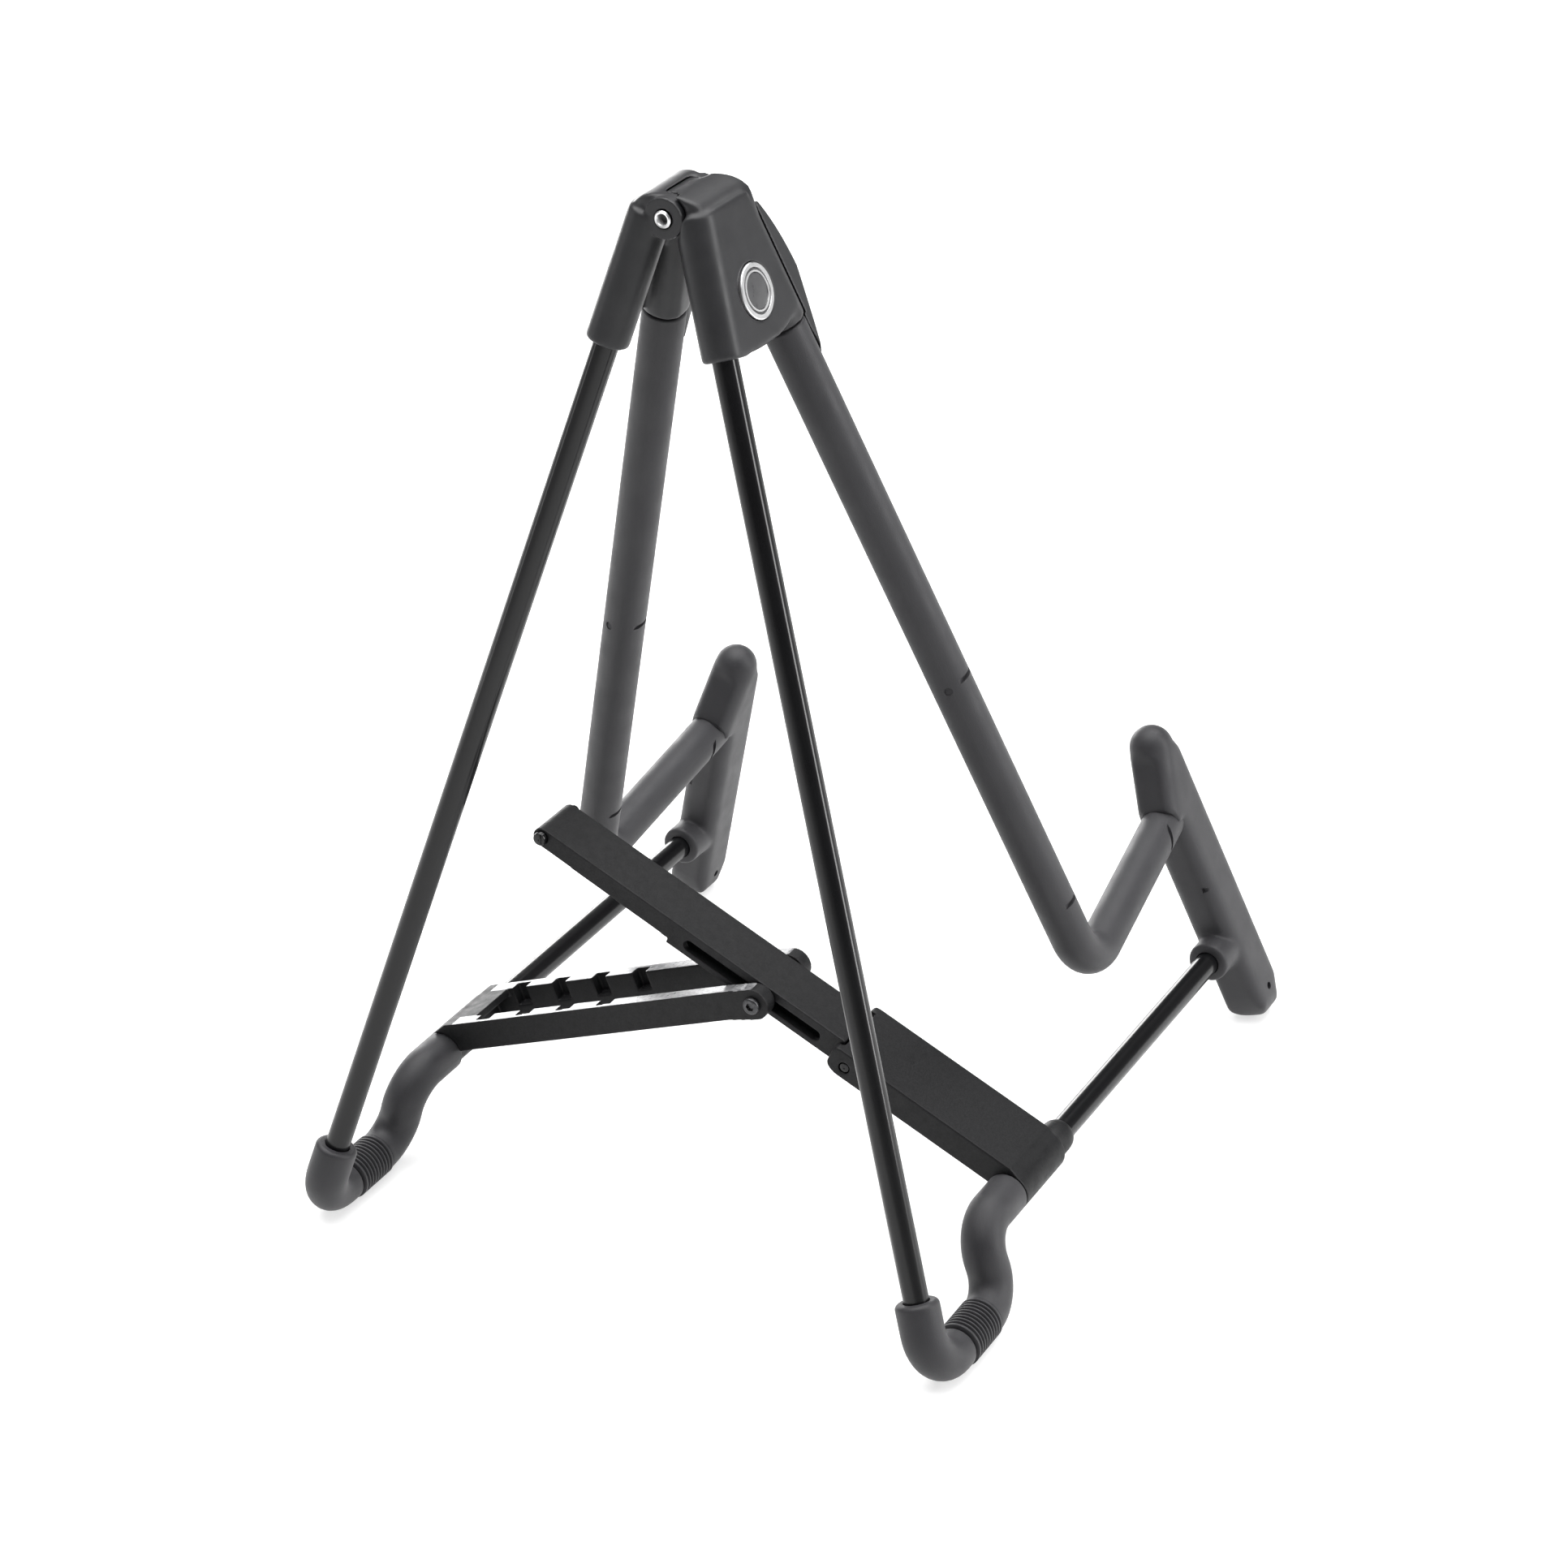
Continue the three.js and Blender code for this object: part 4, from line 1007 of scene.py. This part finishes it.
def build_spreader():
    half = WIDE_WIDTH / 2
    place = bar_place("a")
    notch_half = FORK_WIDTH / 2 - FORK_WALL + NOTCH_DEPTH - 2.3
    parts = (
        ("rod_liner_a", liner(WIDE_MID_Y - half, WIDE_MID_Y + half), dark_nylon, "nylon"),
        ("wide_channel", wide_channel(), plastic, "plastic"),
        ("slotted_bar", slotted_bar(), plastic, "plastic"),
        ("knee_pin", plain_pin(KNEE, KNEE_PIN_RADIUS, half - BORE_GAP, WIDE_MID_Y), steel, "steel"),
        ("notch_pin", plain_pin(NOTCH_PIN, NOTCH_PIN_RADIUS, notch_half), steel, "steel"),
    )
    for node, shape, finish, slot in parts:
        finished(shape, f"{node}_skin", place, finish, "spreader", [node])


def build_fork():
    place = bar_place("b")
    liner_end = S_SLEEVE_END_U - BORE_GAP
    fork = fork_bar()
    fork.data.materials.clear()
    fork.data.materials.append(plastic)
    # painted highlight on the upper faces of the fork's arms
    paint_rail_highlight(fork, rail_highlight)
    parts = (
        ("rod_liner_b", liner(MID_Y - FORK_WIDTH / 2, liner_end), dark_nylon, "nylon"),
        ("fork_bar", fork, plastic, "plastic"),
        ("ear_screw_rear", ear_screw(1), screw_black, "steel"),
        ("ear_screw_front", ear_screw(-1), screw_black, "steel"),
    )
    for node, shape, finish, slot in parts:
        finished(shape, f"{node}_skin", place, finish, "fork", [node])


def build_pin():
    place = Matrix.Scale(METRE, 4) @ Matrix.Translation((0, CENTRE_SHIFT, HINGE_HEIGHT))
    finished(hinge_pin(), "hinge_pin_skin", place, zinc, "side_a", ["hinge_pin"])
    # dark core that paints the shade inside the rivet's bores
    finished(hinge_pin_bore_shade(), "hinge_pin_bore_shade", place, dark_nylon, "side_a", [])


def paint_hidden_tubes():
    for side in "ab":
        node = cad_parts[f"front_tube_{side}"]
        node.data.materials.clear()
        node.data.materials.append(steel)


# ---- Camera, floor and light ----
def build_camera():
    data = bpy.data.cameras.new("camera")
    data.sensor_width = 36
    data.lens = 91.67
    data.clip_start = 0.05
    data.clip_end = 30
    camera = bpy.data.objects.new("camera", data)
    bpy.context.scene.collection.objects.link(camera)
    right = Vector((-0.87940, -0.47449, -0.03889))
    up = Vector((0.18506, -0.41597, 0.89035))
    back = Vector((-0.43864, 0.77578, 0.45361))
    turn = Matrix((right, up, back)).transposed().to_4x4()
    camera.matrix_world = Matrix.Translation((-0.60532, 1.07738, 0.76182)) @ turn
    bpy.context.scene.camera = camera


def build_floor():
    builder = bmesh.new()
    bmesh.ops.create_grid(builder, x_segments=8, y_segments=8, size=14)
    floor = new_object("floor", builder)
    finish, shader = new_finish("floor", (0.5, 0.5, 0.5), 0.7)
    shader.inputs["Specular IOR Level"].default_value = 0.2
    shader.inputs["Emission Color"].default_value = (1, 1, 1, 1)
    shader.inputs["Emission Strength"].default_value = FLOOR_GLOW
    vary(finish, shader, "Base Color", (0.49, 0.49, 0.49), (0.51, 0.51, 0.51), 3)
    floor.data.materials.append(finish)


def area_light(name, place, target, size, power):
    data = bpy.data.lights.new(name, "AREA")
    data.shape = "RECTANGLE"
    data.size, data.size_y = size
    data.energy = power
    light = bpy.data.objects.new(name, data)
    light.location = place
    aim = Vector(target) - Vector(place)
    light.rotation_mode = "QUATERNION"
    light.rotation_quaternion = aim.to_track_quat("-Z", "Y")
    light.visible_camera = False
    bpy.context.scene.collection.objects.link(light)


def build_light():
    world = bpy.data.worlds.new("studio")
    world.use_nodes = True
    background = world.node_tree.nodes["Background"]
    background.inputs["Color"].default_value = (1, 1, 1, 1)
    background.inputs["Strength"].default_value = 1
    tree = world.node_tree
    direction = tree.nodes.new("ShaderNodeTexCoord")
    height = tree.nodes.new("ShaderNodeSeparateXYZ")
    tree.links.new(direction.outputs["Generated"], height.inputs["Vector"])
    dim, pale = grey(0.15), grey(FLOOR_GLOW)
    shade = ramp(world, height.outputs["Z"], pale, dim, 0.02, 0.14)
    tree.links.new(shade, background.inputs["Color"])
    bpy.context.scene.world = world
    middle = (0, 0, 0.18)
    area_light("top", (0.1, -0.2, 2.4), (0, 0, 0), (3.2, 3.2), 165)
    area_light("right", (-1.7, -0.5, 0.8), middle, (0.4, 1.6), 27)
    area_light("left", (1.5, 0.7, 0.8), middle, (0.1, 1.6), 3)
    area_light("behind", (1.13, -1.03, 0.22), (0.08, 0.05, 0.05), (1.0, 0.5), 12)


build_side("a")
build_side("b")
build_spreader()
build_fork()
build_pin()
paint_hidden_tubes()
build_camera()
build_floor()
build_light()
bpy.context.scene.view_settings.view_transform = "Standard"
